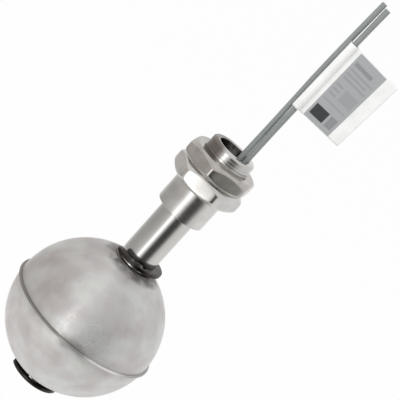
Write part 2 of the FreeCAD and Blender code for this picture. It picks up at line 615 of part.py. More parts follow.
# ---------------------------------------------------------------- leads and wires
def lead(label, route, diameter):
    """Round lead along straight runs that tangent arcs join; prints the arcs' radii."""
    points = [Vector(place) for place in route]
    edges, radii, start = [], [], points[0]
    for before, corner, after in zip(points, points[1:], points[2:]):
        run_in, run_out = corner - before, after - corner
        reach = 0.45 * min(run_in.Length, run_out.Length)
        half_turn = run_in.getAngle(run_out) / 2
        run_in.normalize()
        run_out.normalize()
        radius = reach / math.tan(half_turn)
        inward = (run_out - run_in).normalize()
        middle = corner + inward * (radius / math.cos(half_turn) - radius)
        arc_start, arc_end = corner - run_in * reach, corner + run_out * reach
        edges.append(Part.LineSegment(start, arc_start).toShape())
        edges.append(Part.Arc(arc_start, middle, arc_end).toShape())
        radii.append(round(radius, 2))
        start = arc_end
    edges.append(Part.LineSegment(start, points[-1]).toShape())
    path = Part.Wire(edges)
    rim = Part.Circle(points[0], points[1] - points[0], diameter / 2).toShape()
    item = doc.addObject("Part::Feature", label)
    item.Label = label
    item.Shape = path.makePipe(Part.Face(Part.Wire(rim)))
    expected = math.pi * diameter ** 2 / 4 * path.Length
    if abs(item.Shape.Volume - expected) > 0.01 * expected:
        raise RuntimeError(label + " has the wrong volume")
    print(label, "length", round(path.Length, 2), "arc radii", radii)


def at(name):
    """Shorter name for a value of the sheet of places."""
    return value("places." + name)


return_x = value("sizes.return_offset")
lead("return_lead",
     ((0, 0, at("potting_low_z")), (0, 0, at("turn_z")), (return_x, 0, at("turn_z")),
      (return_x, 0, at("splice_b_z") + at("splice_middle") - value("sizes.seat_gap"))),
     value("sizes.reed_lead_dia"))

bend_high = at("seal_top_z") - value("sizes.bend_below")
bend_low = bend_high - value("sizes.bend_length")
for letter, foot_x, drop in (("a", 0, 0), ("b", return_x, value("sizes.bend_stagger"))):
    top_x = at("wire_%s_x" % letter)
    foot_z = at("splice_%s_z" % letter) + at("splice_middle") + value("sizes.seat_gap")
    lead("inner_lead_" + letter,
         ((foot_x, 0, foot_z), (foot_x, 0, bend_low - drop), (top_x, 0, bend_high - drop),
          (top_x, 0, at("seal_top_z"))),
         value("sizes.wire_dia"))

for letter, back in (("a", value("sizes.wire_a_back")), ("b", 0)):
    foot_x = at("wire_%s_x" % letter)
    low_x, high_x, end_x = (foot_x + value("sizes.wire_%s_%s_shift" % (letter, place))
                            for place in ("low", "high", "end"))
    lead("lead_wire_" + letter,
         ((foot_x, 0, at("seal_top_z")), (foot_x, 0, value("sizes.wire_foot_z")),
          (low_x, back, value("sizes.wire_low_z")),
          (high_x, back, value("sizes.wire_high_z")),
          (end_x, 0, value("sizes.wire_%s_end_z" % letter))),
         value("sizes.wire_dia"))

# ---------------------------------------------------------------- flag label round wire b
label = new_body("flag_label", "sizes.label_low_z", "sizes.label_tilt", Vector(0, 1, 0))
label.setExpression("Placement.Base.x", "places.label_x")
fold = new_sketch(label, "fold_outline", "XY_Plane")
circle(fold, "0", "0", "places.label_r")
padded(label, fold, "fold_round_wire", "sizes.label_length")
leaves = new_sketch(label, "leaves_outline", "XZ_Plane")
polygon(leaves, ("0", "0"), ("sizes.label_reach_low", "0"),
        ("sizes.label_reach_high", "sizes.label_edge_length"), ("0", "sizes.label_length"))
padded(label, leaves, "glued_leaves", "sizes.label_film * 2", both_ways=True)
fold_bore = new_sketch(label, "fold_bore_outline", "XY_Plane")
circle(fold_bore, "0", "0", "places.label_bore_r")
cut_through(label, fold_bore, "fold_bore")

# ---------------------------------------------------------------- checks and files
NODES = (
    "mounting_fitting", "jam_nut", "stem_tube", "stem_end_plug", "upper_clip", "lower_clip",
    "float_upper_shell", "float_lower_shell", "float_weld_seam", "float_guide_tube",
    "ring_magnet", "magnet_spacer_upper", "magnet_spacer_lower",
    "reed_glass", "reed_blade_upper", "reed_blade_lower", "return_lead", "reed_potting",
    "splice_sleeve_a", "splice_sleeve_b", "inner_lead_a", "inner_lead_b", "potting_seal",
    "lead_wire_a", "lead_wire_b", "flag_label",
)

doc.recompute()
for item in doc.Objects:
    if "Invalid" in item.State or "Error" in item.State:
        raise RuntimeError(item.Name + " didn't build")

os.makedirs("parts", exist_ok=True)
for node in NODES:
    shape = doc.getObjectsByLabel(node)[0].Shape
    if shape.isNull() or not shape.isValid() or len(shape.Solids) != 1:
        raise RuntimeError(node + " isn't one sound solid")
    shape.exportStep(os.path.join("parts", node + ".step"))
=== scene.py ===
import math

import bmesh
import bpy
from bpy.props import FloatProperty, FloatVectorProperty, IntProperty, PointerProperty
from mathutils import Matrix, Vector


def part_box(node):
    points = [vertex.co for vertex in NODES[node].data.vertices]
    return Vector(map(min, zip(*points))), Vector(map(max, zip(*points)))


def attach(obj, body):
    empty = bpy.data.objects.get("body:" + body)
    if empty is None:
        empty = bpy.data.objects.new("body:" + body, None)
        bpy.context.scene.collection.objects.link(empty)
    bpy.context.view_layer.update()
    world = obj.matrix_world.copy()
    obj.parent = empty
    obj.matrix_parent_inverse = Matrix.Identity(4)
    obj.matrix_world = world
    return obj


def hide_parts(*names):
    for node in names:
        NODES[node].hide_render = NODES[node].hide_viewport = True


# Float level switch: a hollow steel ball on a polished stem, held between two E-clips under a
# hex fitting with a threaded stub and a jam nut. Two lead wires come out of the stub, and one of
# them carries a folded flag label. Sizes below are millimetres unless a property has a unit.

bl_info = {
    "name": "Float level switch",
    "version": (1, 0, 0),
    "blender": (4, 5, 0),
    "location": "View3D > Sidebar > Float switch",
    "description": "Builds a stainless float level switch with its finishes and a studio stage",
    "category": "Object",
}

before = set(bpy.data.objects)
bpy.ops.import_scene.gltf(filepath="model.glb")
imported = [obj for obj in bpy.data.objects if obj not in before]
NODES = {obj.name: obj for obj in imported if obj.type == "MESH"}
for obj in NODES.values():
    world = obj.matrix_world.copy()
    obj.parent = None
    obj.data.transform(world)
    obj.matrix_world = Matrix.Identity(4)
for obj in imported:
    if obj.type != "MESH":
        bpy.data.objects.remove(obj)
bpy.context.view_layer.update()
MM = 0.001


def box_mm(node):
    """Lowest and highest corner of a CAD node, in millimetres."""
    low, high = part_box(node)
    return low / MM, high / MM


FITTING_LOW, FITTING_HIGH = box_mm("mounting_fitting")
NUT_LOW, NUT_HIGH = box_mm("jam_nut")
STEM_LOW, STEM_HIGH = box_mm("stem_tube")
SHELL_HIGH = box_mm("float_upper_shell")[1]
SEAM_LOW, SEAM_HIGH = box_mm("float_weld_seam")
GUIDE_LOW, GUIDE_HIGH = box_mm("float_guide_tube")
CLIPS = box_mm("lower_clip"), box_mm("upper_clip")
FLOAT_Z = (SEAM_LOW.z + SEAM_HIGH.z) / 2
BALL_R = SHELL_HIGH.x
STEM_R = STEM_HIGH.x
# Clearances and small steps
SEAT, CLIP_GAP, GUIDE_GAP, NUT_GAP = 0.02, 0.05, 0.45, 0.05
LEAD_IN, FACE_STEP = 0.6, 0.22

# Lead wires: name, route in metres, and length
WIRES = (
    ("a", ((0.002735, 0.0, 0.0010), (0.002735, 0.0, 0.0086), (0.00295, 0.0018, 0.0216),
           (0.00292, 0.0018, 0.0446), (0.0039, 0.0, 0.0673)), 0.0665),
    ("b", ((0.004665, 0.0, 0.0010), (0.004665, 0.0, 0.0086), (0.004765, 0.0, 0.0216),
           (0.00517, 0.0, 0.0446), (0.00593, 0.0, 0.0665)), 0.0655),
)
# Flag label: its foot on the wire, lean in degrees, reach and length at either edge, and bore
FLAG_X, FLAG_Z, FLAG_TILT = 4.855, 26.6, 1.35
FLAG_REACH, FLAG_TALL, FLAG_BORE = (17.1, 18.3), (25.9, 25.1), 1.375
# Print on the label: left, right, low and high edge of each block as shares, and its colour
PRINT = (
    (0.10, 0.74, 0.01, 0.985, "#A6A7A9"), (0.15, 0.56, 0.83, 0.88, "#8A8C8E"),
    (0.15, 0.68, 0.76, 0.785, "#96989A"), (0.15, 0.62, 0.70, 0.725, "#96989A"),
    (0.15, 0.68, 0.64, 0.665, "#96989A"), (0.38, 0.68, 0.40, 0.56, "#9A9C9E"),
    (0.15, 0.31, 0.53, 0.555, "#96989A"), (0.15, 0.31, 0.465, 0.49, "#96989A"),
    (0.15, 0.31, 0.40, 0.425, "#96989A"), (0.15, 0.68, 0.31, 0.33, "#96989A"),
    (0.15, 0.47, 0.07, 0.22, "#2B2C2E"), (0.52, 0.68, 0.07, 0.22, "#8A8C8E"),
)
# Studio panels, lower and upper row: way they face round the stem in degrees, brightness, tint
PANELS = (
    ((-180, 0.95, "#FFFFFF"), (180, 0.95, "#FFFFFF"), (-142, 0.76, "#FFFFFE"),
     (-122, 0.58, "#FFFEFD"), (-96, 0.54, "#FFFEFD"), (-72, 0.56, "#FFFEFD"),
     (-48, 0.66, "#FFFEFD"), (-33, 0.80, "#FFFEFD"), (-22, 1.20, "#FFFFFF"),
     (-16, 2.34, "#FFFFFF"), (-10, 2.34, "#FFFFFF"), (-3, 1.28, "#FFFFFF"),
     (4, 0.80, "#FFFFFE"), (12, 0.18, "#FFFFFC"),
     (21, 0.08, "#FFFFFC"), (42, 0.09, "#FFFFFC"), (53, 0.28, "#FFFFFD"),
     (66, 0.84, "#FFFFFF"), (84, 1.0, "#FFFFFF")),
    ((-180, 0.90, "#FFFFFF"), (180, 0.95, "#FFFFFF"), (-142, 0.72, "#FFFCFA"),
     (-122, 0.66, "#FFFAF6"), (-96, 0.64, "#FFF8F4"), (-72, 0.66, "#FFF8F4"),
     (-48, 0.62, "#FFF8F4"), (-33, 0.66, "#FFFAF8"), (-23, 1.30, "#FFFFFF"),
     (-18, 2.80, "#FFFFFF"), (-12, 2.80, "#FFFFFF"), (-8, 1.20, "#FFFFFF"),
     (-2, 1.10, "#FFFFFF"), (4, 0.60, "#FFFFFE"), (12, 0.14, "#FFFFFC"),
     (21, 0.09, "#FFFFF8"), (40, 0.17, "#FFFFF4"), (53, 0.50, "#FBFFF6"),
     (66, 0.74, "#FFFFFF"), (84, 0.95, "#FAFCFF")),
)


# ------------------------------------------------------------------ colours and nodes
def linear(code):
    """Linear RGBA of an sRGB hex colour."""
    parts = [int(code[i:i + 2], 16) / 255 for i in (1, 3, 5)]
    return tuple(p / 12.92 if p <= 0.04045 else ((p + 0.055) / 1.055) ** 2.4 for p in parts) + (1,)


def add_node(tree, kind, inputs=None, **settings):
    """Adds a node, sets its properties, and links or sets its inputs by name or number. A node
    given as a source stands for its first output."""
    item = tree.nodes.new(kind)
    for key, setting in settings.items():
        setattr(item, key, setting)
    for key, source in (inputs or {}).items():
        if isinstance(source, bpy.types.Node):
            source = source.outputs[0]
        if isinstance(source, bpy.types.NodeSocket):
            tree.links.new(source, item.inputs[key])
        else:
            item.inputs[key].default_value = source
    return item


def bare_material(name):
    """Empty material and its tree."""
    material = bpy.data.materials.new(name)
    material.use_nodes = True
    material.node_tree.nodes.clear()
    return material, material.node_tree


def two_tone(name, first, second, cloud, grain, roughness, depth, metallic=0.0, ior=1.5,
             share=0.5):
    """Material with clouds of a second tone and a grain. cloud and grain are a size in
    millimetres and its stretch along the axes, roughness is a range, and depth is the grain's
    in millimetres. Returns the tree, shader, Object coordinates in millimetres and tone too."""
    material, tree = bare_material(name)
    place = add_node(tree, "ShaderNodeTexCoord").outputs["Object"]
    place = add_node(tree, "ShaderNodeVectorMath", {0: place, "Scale": 1000}, operation="SCALE")
    patterns = []
    for size, stretch in (cloud, grain):
        moved = add_node(tree, "ShaderNodeMapping",
                         {"Vector": place, "Scale": [1 / (size * way) for way in stretch]})
        patterns.append(add_node(tree, "ShaderNodeTexNoise",
                                 {"Vector": moved, "Scale": 1.0, "Detail": 3.0}))
    clouds, lines = patterns
    part = add_node(tree, "ShaderNodeMapRange",
                    {"Value": clouds, "From Min": 0.35, "From Max": 0.7, "To Max": share})
    tone = add_node(tree, "ShaderNodeMix", {0: part, 6: first, 7: linear(second)},
                    data_type="RGBA").outputs[2]
    inputs = {"Base Color": tone}
    if metallic:
        inputs["Metallic"] = metallic
    else:
        inputs["IOR"] = ior
    if roughness[0] == roughness[1]:
        inputs["Roughness"] = roughness[0]
    else:
        inputs["Roughness"] = add_node(
            tree, "ShaderNodeMapRange", {"Value": lines, "From Min": 0.3, "From Max": 0.7,
                                         "To Min": roughness[0], "To Max": roughness[1]})
    if depth:
        inputs["Normal"] = add_node(tree, "ShaderNodeBump",
                                    {"Height": lines, "Distance": depth * MM})
    shader = add_node(tree, "ShaderNodeBsdfPrincipled", inputs)
    add_node(tree, "ShaderNodeOutputMaterial", {"Surface": shader})
    return material, tree, shader, place, tone


def fill_ramp(ramp, stops):
    """Sets a colour ramp's stops, each a place and a colour. A new ramp has two stops."""
    marks = ramp.color_ramp.elements
    for number, (where, colour) in enumerate(stops):
        stop = marks[number] if number < 2 else marks.new(where)
        stop.position = where
        stop.color = colour


# ------------------------------------------------------------------ finishes
EVEN = (1, 1, 1)


def satin_ball_stainless(settings, lines):
    """304 hemispheres, pressed, welded and satin polished: soft, broad reflections, faint
    polishing lines round the ball, drawn 0.35 mm wide, grey clouds, a tint of heat beside
    the weld, and painted shade in dark spots round the hub, standing in for the clip's
    shadow and reflection there. Between the matt lines the highs keep some shine. lines is
    how far the polishing draws reflections out."""
    soft = settings.ball_roughness
    material, tree, shader, place, tone = two_tone(
        "304_stainless_satin_polished", (*settings.ball_colour, 1), "#D2CACA", (9.0, EVEN),
        (0.35, (14, 14, 1)), (soft, soft), 0.004, 1.0, share=0.8)
    fine = add_node(tree, "ShaderNodeTexNoise", {"Vector": place, "Scale": 9.0, "Detail": 2.0})
    rough = add_node(tree, "ShaderNodeMapRange",
                     {"Value": fine, "From Min": 0.37, "From Max": 0.45,
                      "To Min": settings.ball_highs, "To Max": soft})
    tree.links.new(rough.outputs[0], shader.inputs["Roughness"])
    side, deep, height = add_node(tree, "ShaderNodeSeparateXYZ", {0: place}).outputs
    off = add_node(tree, "ShaderNodeMath", {0: height, 1: FLOAT_Z}, operation="SUBTRACT")
    shader.inputs["Anisotropic"].default_value = lines
    way = add_node(tree, "ShaderNodeTangent", direction_type="RADIAL", axis="Z")
    tree.links.new(way.outputs[0], shader.inputs["Tangent"])
    shader.inputs["Anisotropic Rotation"].default_value = 0.25
    away = add_node(tree, "ShaderNodeMath", {0: off}, operation="ABSOLUTE")
    cloud = add_node(tree, "ShaderNodeTexNoise", {"Vector": place, "Scale": 0.25, "Detail": 3.0})
    reach = add_node(tree, "ShaderNodeMath", {0: cloud, 1: 5.0, 2: away},
                     operation="MULTIPLY_ADD")
    near = add_node(tree, "ShaderNodeMapRange",
                    {"Value": reach, "From Min": 2.2, "From Max": 5.6, "To Min": 1.0,
                     "To Max": 0.0}, interpolation_type="SMOOTHSTEP")
    heat = add_node(tree, "ShaderNodeMath", {0: near, 1: settings.heat_tint},
                    operation="MULTIPLY")
    for start, end in ((8.5, 5.0), (-2.5, 0.5)):
        part = add_node(tree, "ShaderNodeMapRange",
                        {"Value": side, "From Min": start, "From Max": end,
                         "To Min": 0.25, "To Max": 1.0}, interpolation_type="SMOOTHSTEP")
        heat = add_node(tree, "ShaderNodeMath", {0: heat, 1: part}, operation="MULTIPLY")
    # Painted shade: dark spots on the ball round the hub stand in for the clip's shadow and
    # reflection.
    hub_painted_shade = add_node(tree, "ShaderNodeVectorMath",
                   {0: add_node(tree, "ShaderNodeCombineXYZ", {0: side, 1: deep})},
                   operation="LENGTH").outputs["Value"]
    hub_painted_shade = add_node(tree, "ShaderNodeMapRange",
                   {"Value": hub_painted_shade, "From Min": 9.0, "From Max": 11.2, "To Min": 0.6,
                    "To Max": 0.0}, interpolation_type="SMOOTHSTEP")
    spots = add_node(tree, "ShaderNodeTexNoise", {"Vector": place, "Scale": 0.3, "Detail": 2.0})
    spots = add_node(tree, "ShaderNodeMapRange",
                     {"Value": spots, "From Min": 0.3, "From Max": 0.62})
    hub_painted_shade = add_node(tree, "ShaderNodeMath", {0: hub_painted_shade, 1: spots}, operation="MULTIPLY")
    # 6A6361 is the painted shade round the hub; #8A8482 is the heat tint beside the weld.
    for part, tint in ((hub_painted_shade, "#6A6361"), (heat, "#8A8482")):
        tone = add_node(tree, "ShaderNodeMix", {0: part, 6: tone, 7: linear(tint)},
                        data_type="RGBA").outputs[2]
    tree.links.new(tone, shader.inputs["Base Color"])
    return material


def drawn_stem_stainless(settings):
    """304 tube, drawn and mirror polished: sharp bright and dark reflections along the tube,
    with very fine lines round it, drawn 0.25 mm wide."""
    soft = settings.stem_roughness
    return two_tone("304_stainless_drawn_polished", (*settings.stem_colour, 1), "#A8A6A2",
                    (6.0, (1, 1, 3)), (0.25, (10, 10, 1)), (soft, soft + 0.06), 0.0015, 1.0,
                    share=0.4)[0]


def turned_fitting_stainless(settings):
    """304 bar, turned and then milled: fine lathe lines round the collar and stub, drawn
    0.22 mm wide, and a clean bright face on the hexagon. One side of the stub is darkened
    brown with painted shade, standing in for the dark reflection it shows there."""
    soft = settings.fitting_roughness
    material, tree, shader, place, tone = two_tone(
        "304_stainless_turned", (*settings.fitting_colour, 1), "#AAA7A3", (5.0, EVEN),
        (0.22, (12, 12, 1)), (soft - 0.03, soft + 0.07), 0.003, 1.0)
    side, _, height = add_node(tree, "ShaderNodeSeparateXYZ", {0: place}).outputs
    # Painted shade: the stub's left side, from just above the nut upwards, is mixed towards a dark
    # brown.
    stub_shade = settings.stub_painted_shade
    for spot, start, end in ((side, -1.0, -4.0), (height, NUT_LOW.z + 0.5, NUT_LOW.z + 5)):
        part = add_node(tree, "ShaderNodeMapRange",
                        {"Value": spot, "From Min": start, "From Max": end},
                        interpolation_type="SMOOTHSTEP")
        stub_shade = add_node(tree, "ShaderNodeMath", {0: stub_shade, 1: part}, operation="MULTIPLY")
    tone = add_node(tree, "ShaderNodeMix", {0: stub_shade, 6: tone, 7: linear("#5A4F49")},
                    data_type="RGBA").outputs[2]
    tree.links.new(tone, shader.inputs["Base Color"])
    return material


def milled_nut_stainless(settings):
    """304 jam nut, pressed and tumbled: a slightly warm, softer shine with half-millimetre
    dents."""
    soft = settings.nut_roughness
    return two_tone("304_stainless_tumbled", (*settings.nut_colour, 1), "#9A9590", (3.0, EVEN),
                    (0.5, EVEN), (soft - 0.03, soft + 0.08), 0.006, 1.0)[0]


def stamped_spring_steel(settings):
    """Spring steel E-clip, stamped, tumbled and blackened: nearly black beside the tube."""
    return two_tone("spring_steel_blackened", (*settings.clip_colour, 1), "#4C4744",
                    (2.5, EVEN), (0.3, EVEN), (0.22, 0.34), 0.006, 1.0, share=0.7)[0]


def brushed_weld_metal(settings):
    """TIG bead after brushing: a little darker than the ball, with grey and faint straw heat
    colours in patches. Along the ring its tone follows painted light: a painted reflection
    makes it as pale as the ball along one stretch, and painted shade keeps it dark on the left."""
    material, tree, shader, place, tone = two_tone(
        "304_weld_bead_brushed", (*settings.weld_colour, 1), "#8C8681", (4.0, EVEN),
        (0.4, EVEN), (0.3, 0.44), 0.02, 1.0, share=0.6)
    # Painted light: the bead's tone follows its side to side place, as pale as the ball where it
    # stands in for a bright reflection and dark on the left where it stands in for shade.
    side = add_node(tree, "ShaderNodeSeparateXYZ", {0: place})
    ramp = add_node(tree, "ShaderNodeValToRGB", {0: add_node(
        tree, "ShaderNodeMapRange", {"Value": side, "From Min": -BALL_R, "From Max": BALL_R})})
    fill_ramp(ramp, [((across / BALL_R + 1) / 2, (level, level, level, 1)) for across, level in (
        (-BALL_R, 0.0), (BALL_R, 0.2), (-4, 0.0), (-1, 0.3), (3, 0.1), (7, 0.2), (10, 1.0),
        (18, 1.0), (22, 0.3))])
    tone = add_node(tree, "ShaderNodeMix", {0: ramp, 6: tone, 7: (*settings.ball_colour, 1)},
                    data_type="RGBA").outputs[2]
    tree.links.new(tone, shader.inputs["Base Color"])
    return material


def dark_hub_stainless(settings):
    """304 tube, welded into the ball at both ends: dull and dark brownish grey."""
    return two_tone("304_stainless_dark_hub", (*settings.hub_colour, 1), "#8F8885",
                    (2.0, EVEN), (0.4, EVEN), (0.38, 0.52), 0.006, 1.0, share=0.7)[0]


def extruded_wire_pvc(settings):
    """PVC insulation, extruded: even grey with a faint shine and slight lengthwise unevenness."""
    return two_tone("pvc_insulation_extruded", (*settings.wire_colour, 1), "#9EA2A1",
                    (1.6, (1, 1, 6)), (0.5, (1, 1, 4)), (0.42, 0.42), 0.012, ior=1.53)[0]


def tinned_copper_strand(settings):
    """Stranded copper, tinned: pale, warm and rather dull where the cutter went through."""
    return two_tone("copper_tinned_cut", linear("#C9C2B4"), "#A89A86", (0.3, EVEN),
                    (0.3, EVEN), (0.36, 0.36), 0, 1.0, share=1.0)[0]


def cast_epoxy(settings):
    """Black epoxy, poured and cured: smooth and glossy with a slight waviness."""
    return two_tone("epoxy_cast_black", linear("#17181A"), "#242528", (2.5, EVEN), (2.5, EVEN),
                    (0.22, 0.22), 0.08, ior=1.55, share=1.0)[0]


def sintered_ferrite(settings):
    """Ferrite ring, pressed and sintered: charcoal, matt and finely grained."""
    return two_tone("ferrite_sintered", linear("#333436"), "#4A4A4C", (0.4, EVEN), (0.4, EVEN),
                    (0.62, 0.62), 0.02, ior=1.9, share=1.0)[0]


def extruded_nylon(settings):
    """Nylon tube, extruded and cut: natural off-white, slightly waxy."""
    return two_tone("nylon_extruded_natural", linear("#DAD6C9"), "#CFCABB", (4.0, EVEN),
                    (4.0, EVEN), (0.45, 0.45), 0.02, ior=1.53, share=1.0)[0]


def reed_tube_glass(settings):
    """Soda glass tube, flame sealed: clear with a green tinge and a slight ripple."""
    material, _, shader, _, _ = two_tone(
        "glass_flame_sealed", linear("#CFE2D6"), "#BFD8CA", (1.2, EVEN), (1.2, EVEN),
        (0.04, 0.04), 0.01, ior=1.52, share=1.0)
    shader.inputs["Transmission Weight"].default_value = 1.0
    return material


def plated_reed_alloy(settings):
    """Nickel iron reed, rolled and plated: cool grey, fine lengthwise rolling lines."""
    return two_tone("nickel_iron_plated", linear("#ABA79D"), "#8F8B82", (0.08, (1, 1, 20)),
                    (0.08, (1, 1, 20)), (0.3, 0.3), 0.001, 1.0, share=1.0)[0]


def printed_label_film(settings):
    """White polyester film, printed with a grey panel, plain rules and blocks: smooth, half
    gloss, a little soft along its fold and cut edges."""
    material, tree, shader, _, tone = two_tone(
        "polyester_film_printed", (*settings.film_colour, 1), "#EDEDEC", (5.0, EVEN),
        (5.0, EVEN), (0.38, 0.38), 0.05, ior=1.57, share=1.0)
    across, along, _ = add_node(
        tree, "ShaderNodeSeparateXYZ",
        {0: add_node(tree, "ShaderNodeUVMap", uv_map="print")}).outputs
    for left, right, bottom, top, colour in PRINT:
        edges = []
        for spot, soft, low, high in ((across, 0.012, left, right), (along, 0.008, bottom, top)):
            for edge, start in ((low, 0.0), (high, 1.0)):
                edges.append(add_node(
                    tree, "ShaderNodeMapRange",
                    {"Value": spot, "From Min": edge - soft / 2, "From Max": edge + soft / 2,
                     "To Min": start, "To Max": 1 - start}))
        block = edges[0]
        for edge in edges[1:]:
            block = add_node(tree, "ShaderNodeMath", {0: block, 1: edge}, operation="MULTIPLY")
        tone = add_node(tree, "ShaderNodeMix", {0: block, 6: tone, 7: linear(colour)},
                        data_type="RGBA").outputs[2]
    tree.links.new(tone, shader.inputs["Base Color"])
    return material


# ------------------------------------------------------------------ meshes
def finished(name, mesh, material, body, slot, *replaced):
    """Object of a finished mesh, dressed, on its body, in the place of its CAD nodes."""
    piece = bpy.data.objects.new(name, mesh)
    bpy.context.scene.collection.objects.link(piece)
    mesh.materials.clear()
    mesh.materials.append(material)
    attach(piece, body)
    if replaced:
        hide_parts(*replaced)
    return piece


def dress(material, *nodes):
    """Gives CAD nodes that stay as they are their finish."""
    for node in nodes:
        mesh = NODES[node].data
        mesh.materials.clear()
        mesh.materials.append(material)


def rounded(corners, radius, steps=3):
    """Closed profile of (radius, height) corners with each corner cut by a small arc."""
    points, count = [], len(corners)
    for number, corner in enumerate(corners):
        here = Vector(corner)
        before, after = Vector(corners[number - 1]), Vector(corners[(number + 1) % count])
        run_in, run_out = before - here, after - here
        reach = min(radius, 0.4 * run_in.length, 0.4 * run_out.length)
        start, end = here + run_in.normalized() * reach, here + run_out.normalized() * reach
        if reach < 1e-6 or abs(run_in.angle(run_out) - math.pi) < 0.02:
            points.append(tuple(here))
            continue
        for step in range(steps + 1):
            part = step / steps
            points.append(tuple((1 - part) ** 2 * start + 2 * part * (1 - part) * here
                                + part ** 2 * end))
    return points


def turned_mesh(name, profile, columns, radius_at=None, sharp=35):
    """Closed skin of a profile in millimetres, turned about the stem's axis."""
    vertices, faces, rows = [], [], len(profile)
    for radius, height in profile:
        for column in range(columns):
            angle = 2 * math.pi * column / columns
            reach = radius_at(radius, height, angle) if radius_at else radius
            vertices.append((reach * math.cos(angle) * MM, reach * math.sin(angle) * MM,
                             height * MM))
    for row in range(rows):
        above = (row + 1) % rows
        for column in range(columns):
            beside = (column + 1) % columns
            faces.append((row * columns + column, row * columns + beside,
                          above * columns + beside, above * columns + column))
    mesh = bpy.data.meshes.new(name)
    mesh.from_pydata(vertices, [], faces)
    mesh.validate()
    mesh.shade_smooth()
    mesh.set_sharp_from_angle(angle=math.radians(sharp))
    return mesh


def hexagon_reach(flats, face, drop, low, high, turn, crispness=26):
    """Outline of a turned hexagon, in millimetres: round up to its face, and beyond it the
    smallest of its six flats and of the two cones that cut its corners, joined by small
    roundings. Angles are in radians."""
    slope = (flats / math.sqrt(3) - face) / drop

    def reach(radius, height, angle):
        if radius <= face:
            return radius
        limits = [face + max(rise, 0) * slope for rise in (height - low, high - height)]
        for side in range(6):
            lean = math.cos(angle - turn - math.radians(60 * side))
            if lean > 0.3:
                limits.append(flats / 2 / lean)
        return sum(limit ** -crispness for limit in limits) ** (-1 / crispness)
    return reach


# ------------------------------------------------------------------ geometry trees
SIZE, COUNT = "NodeSocketFloat", "NodeSocketInt"


def geometry_tree(name, **inputs):
    """Geometry Nodes tree with named inputs and a material, and its group input's sockets."""
    tree = bpy.data.node_groups.new(name, "GeometryNodeTree")
    inputs["Material"] = ("NodeSocketMaterial", None)
    for label, (kind, default) in inputs.items():
        socket = tree.interface.new_socket(label.replace("_", " "), in_out="INPUT",
                                           socket_type=kind)
        if default is not None:
            socket.default_value = default
    tree.interface.new_socket("Geometry", in_out="OUTPUT", socket_type="NodeSocketGeometry")
    return tree, add_node(tree, "NodeGroupInput").outputs


def close_tree(tree, geometry, given):
    """Ends a tree in plain, smooth, dressed geometry."""
    real = add_node(tree, "GeometryNodeRealizeInstances", {0: geometry})
    smooth = add_node(tree, "GeometryNodeSetShadeSmooth", {0: real})
    dressed = add_node(tree, "GeometryNodeSetMaterial", {0: smooth, "Material": given["Material"]})
    add_node(tree, "NodeGroupOutput", {0: dressed})
    return tree


def grown(name, tree, values):
    """Plain mesh that a Geometry Nodes tree makes from named inputs."""
    seed = bpy.data.objects.new(name + "_seed", bpy.data.meshes.new(name + "_seed"))
    bpy.context.scene.collection.objects.link(seed)
    modifier = seed.modifiers.new("Nodes", "NODES")
    modifier.node_group = tree
    for item in tree.interface.items_tree:
        if item.item_type == "SOCKET" and item.in_out == "INPUT" and item.name in values:
            modifier[item.identifier] = values[item.name]
    bpy.context.view_layer.update()
    evaluated = seed.evaluated_get(bpy.context.evaluated_depsgraph_get())
    mesh = bpy.data.meshes.new_from_object(evaluated)
    mesh.name = name
    seed.modifiers.remove(modifier)
    bpy.data.objects.remove(seed)
    if not mesh.polygons:
        raise RuntimeError(name + " came out empty")
    return mesh


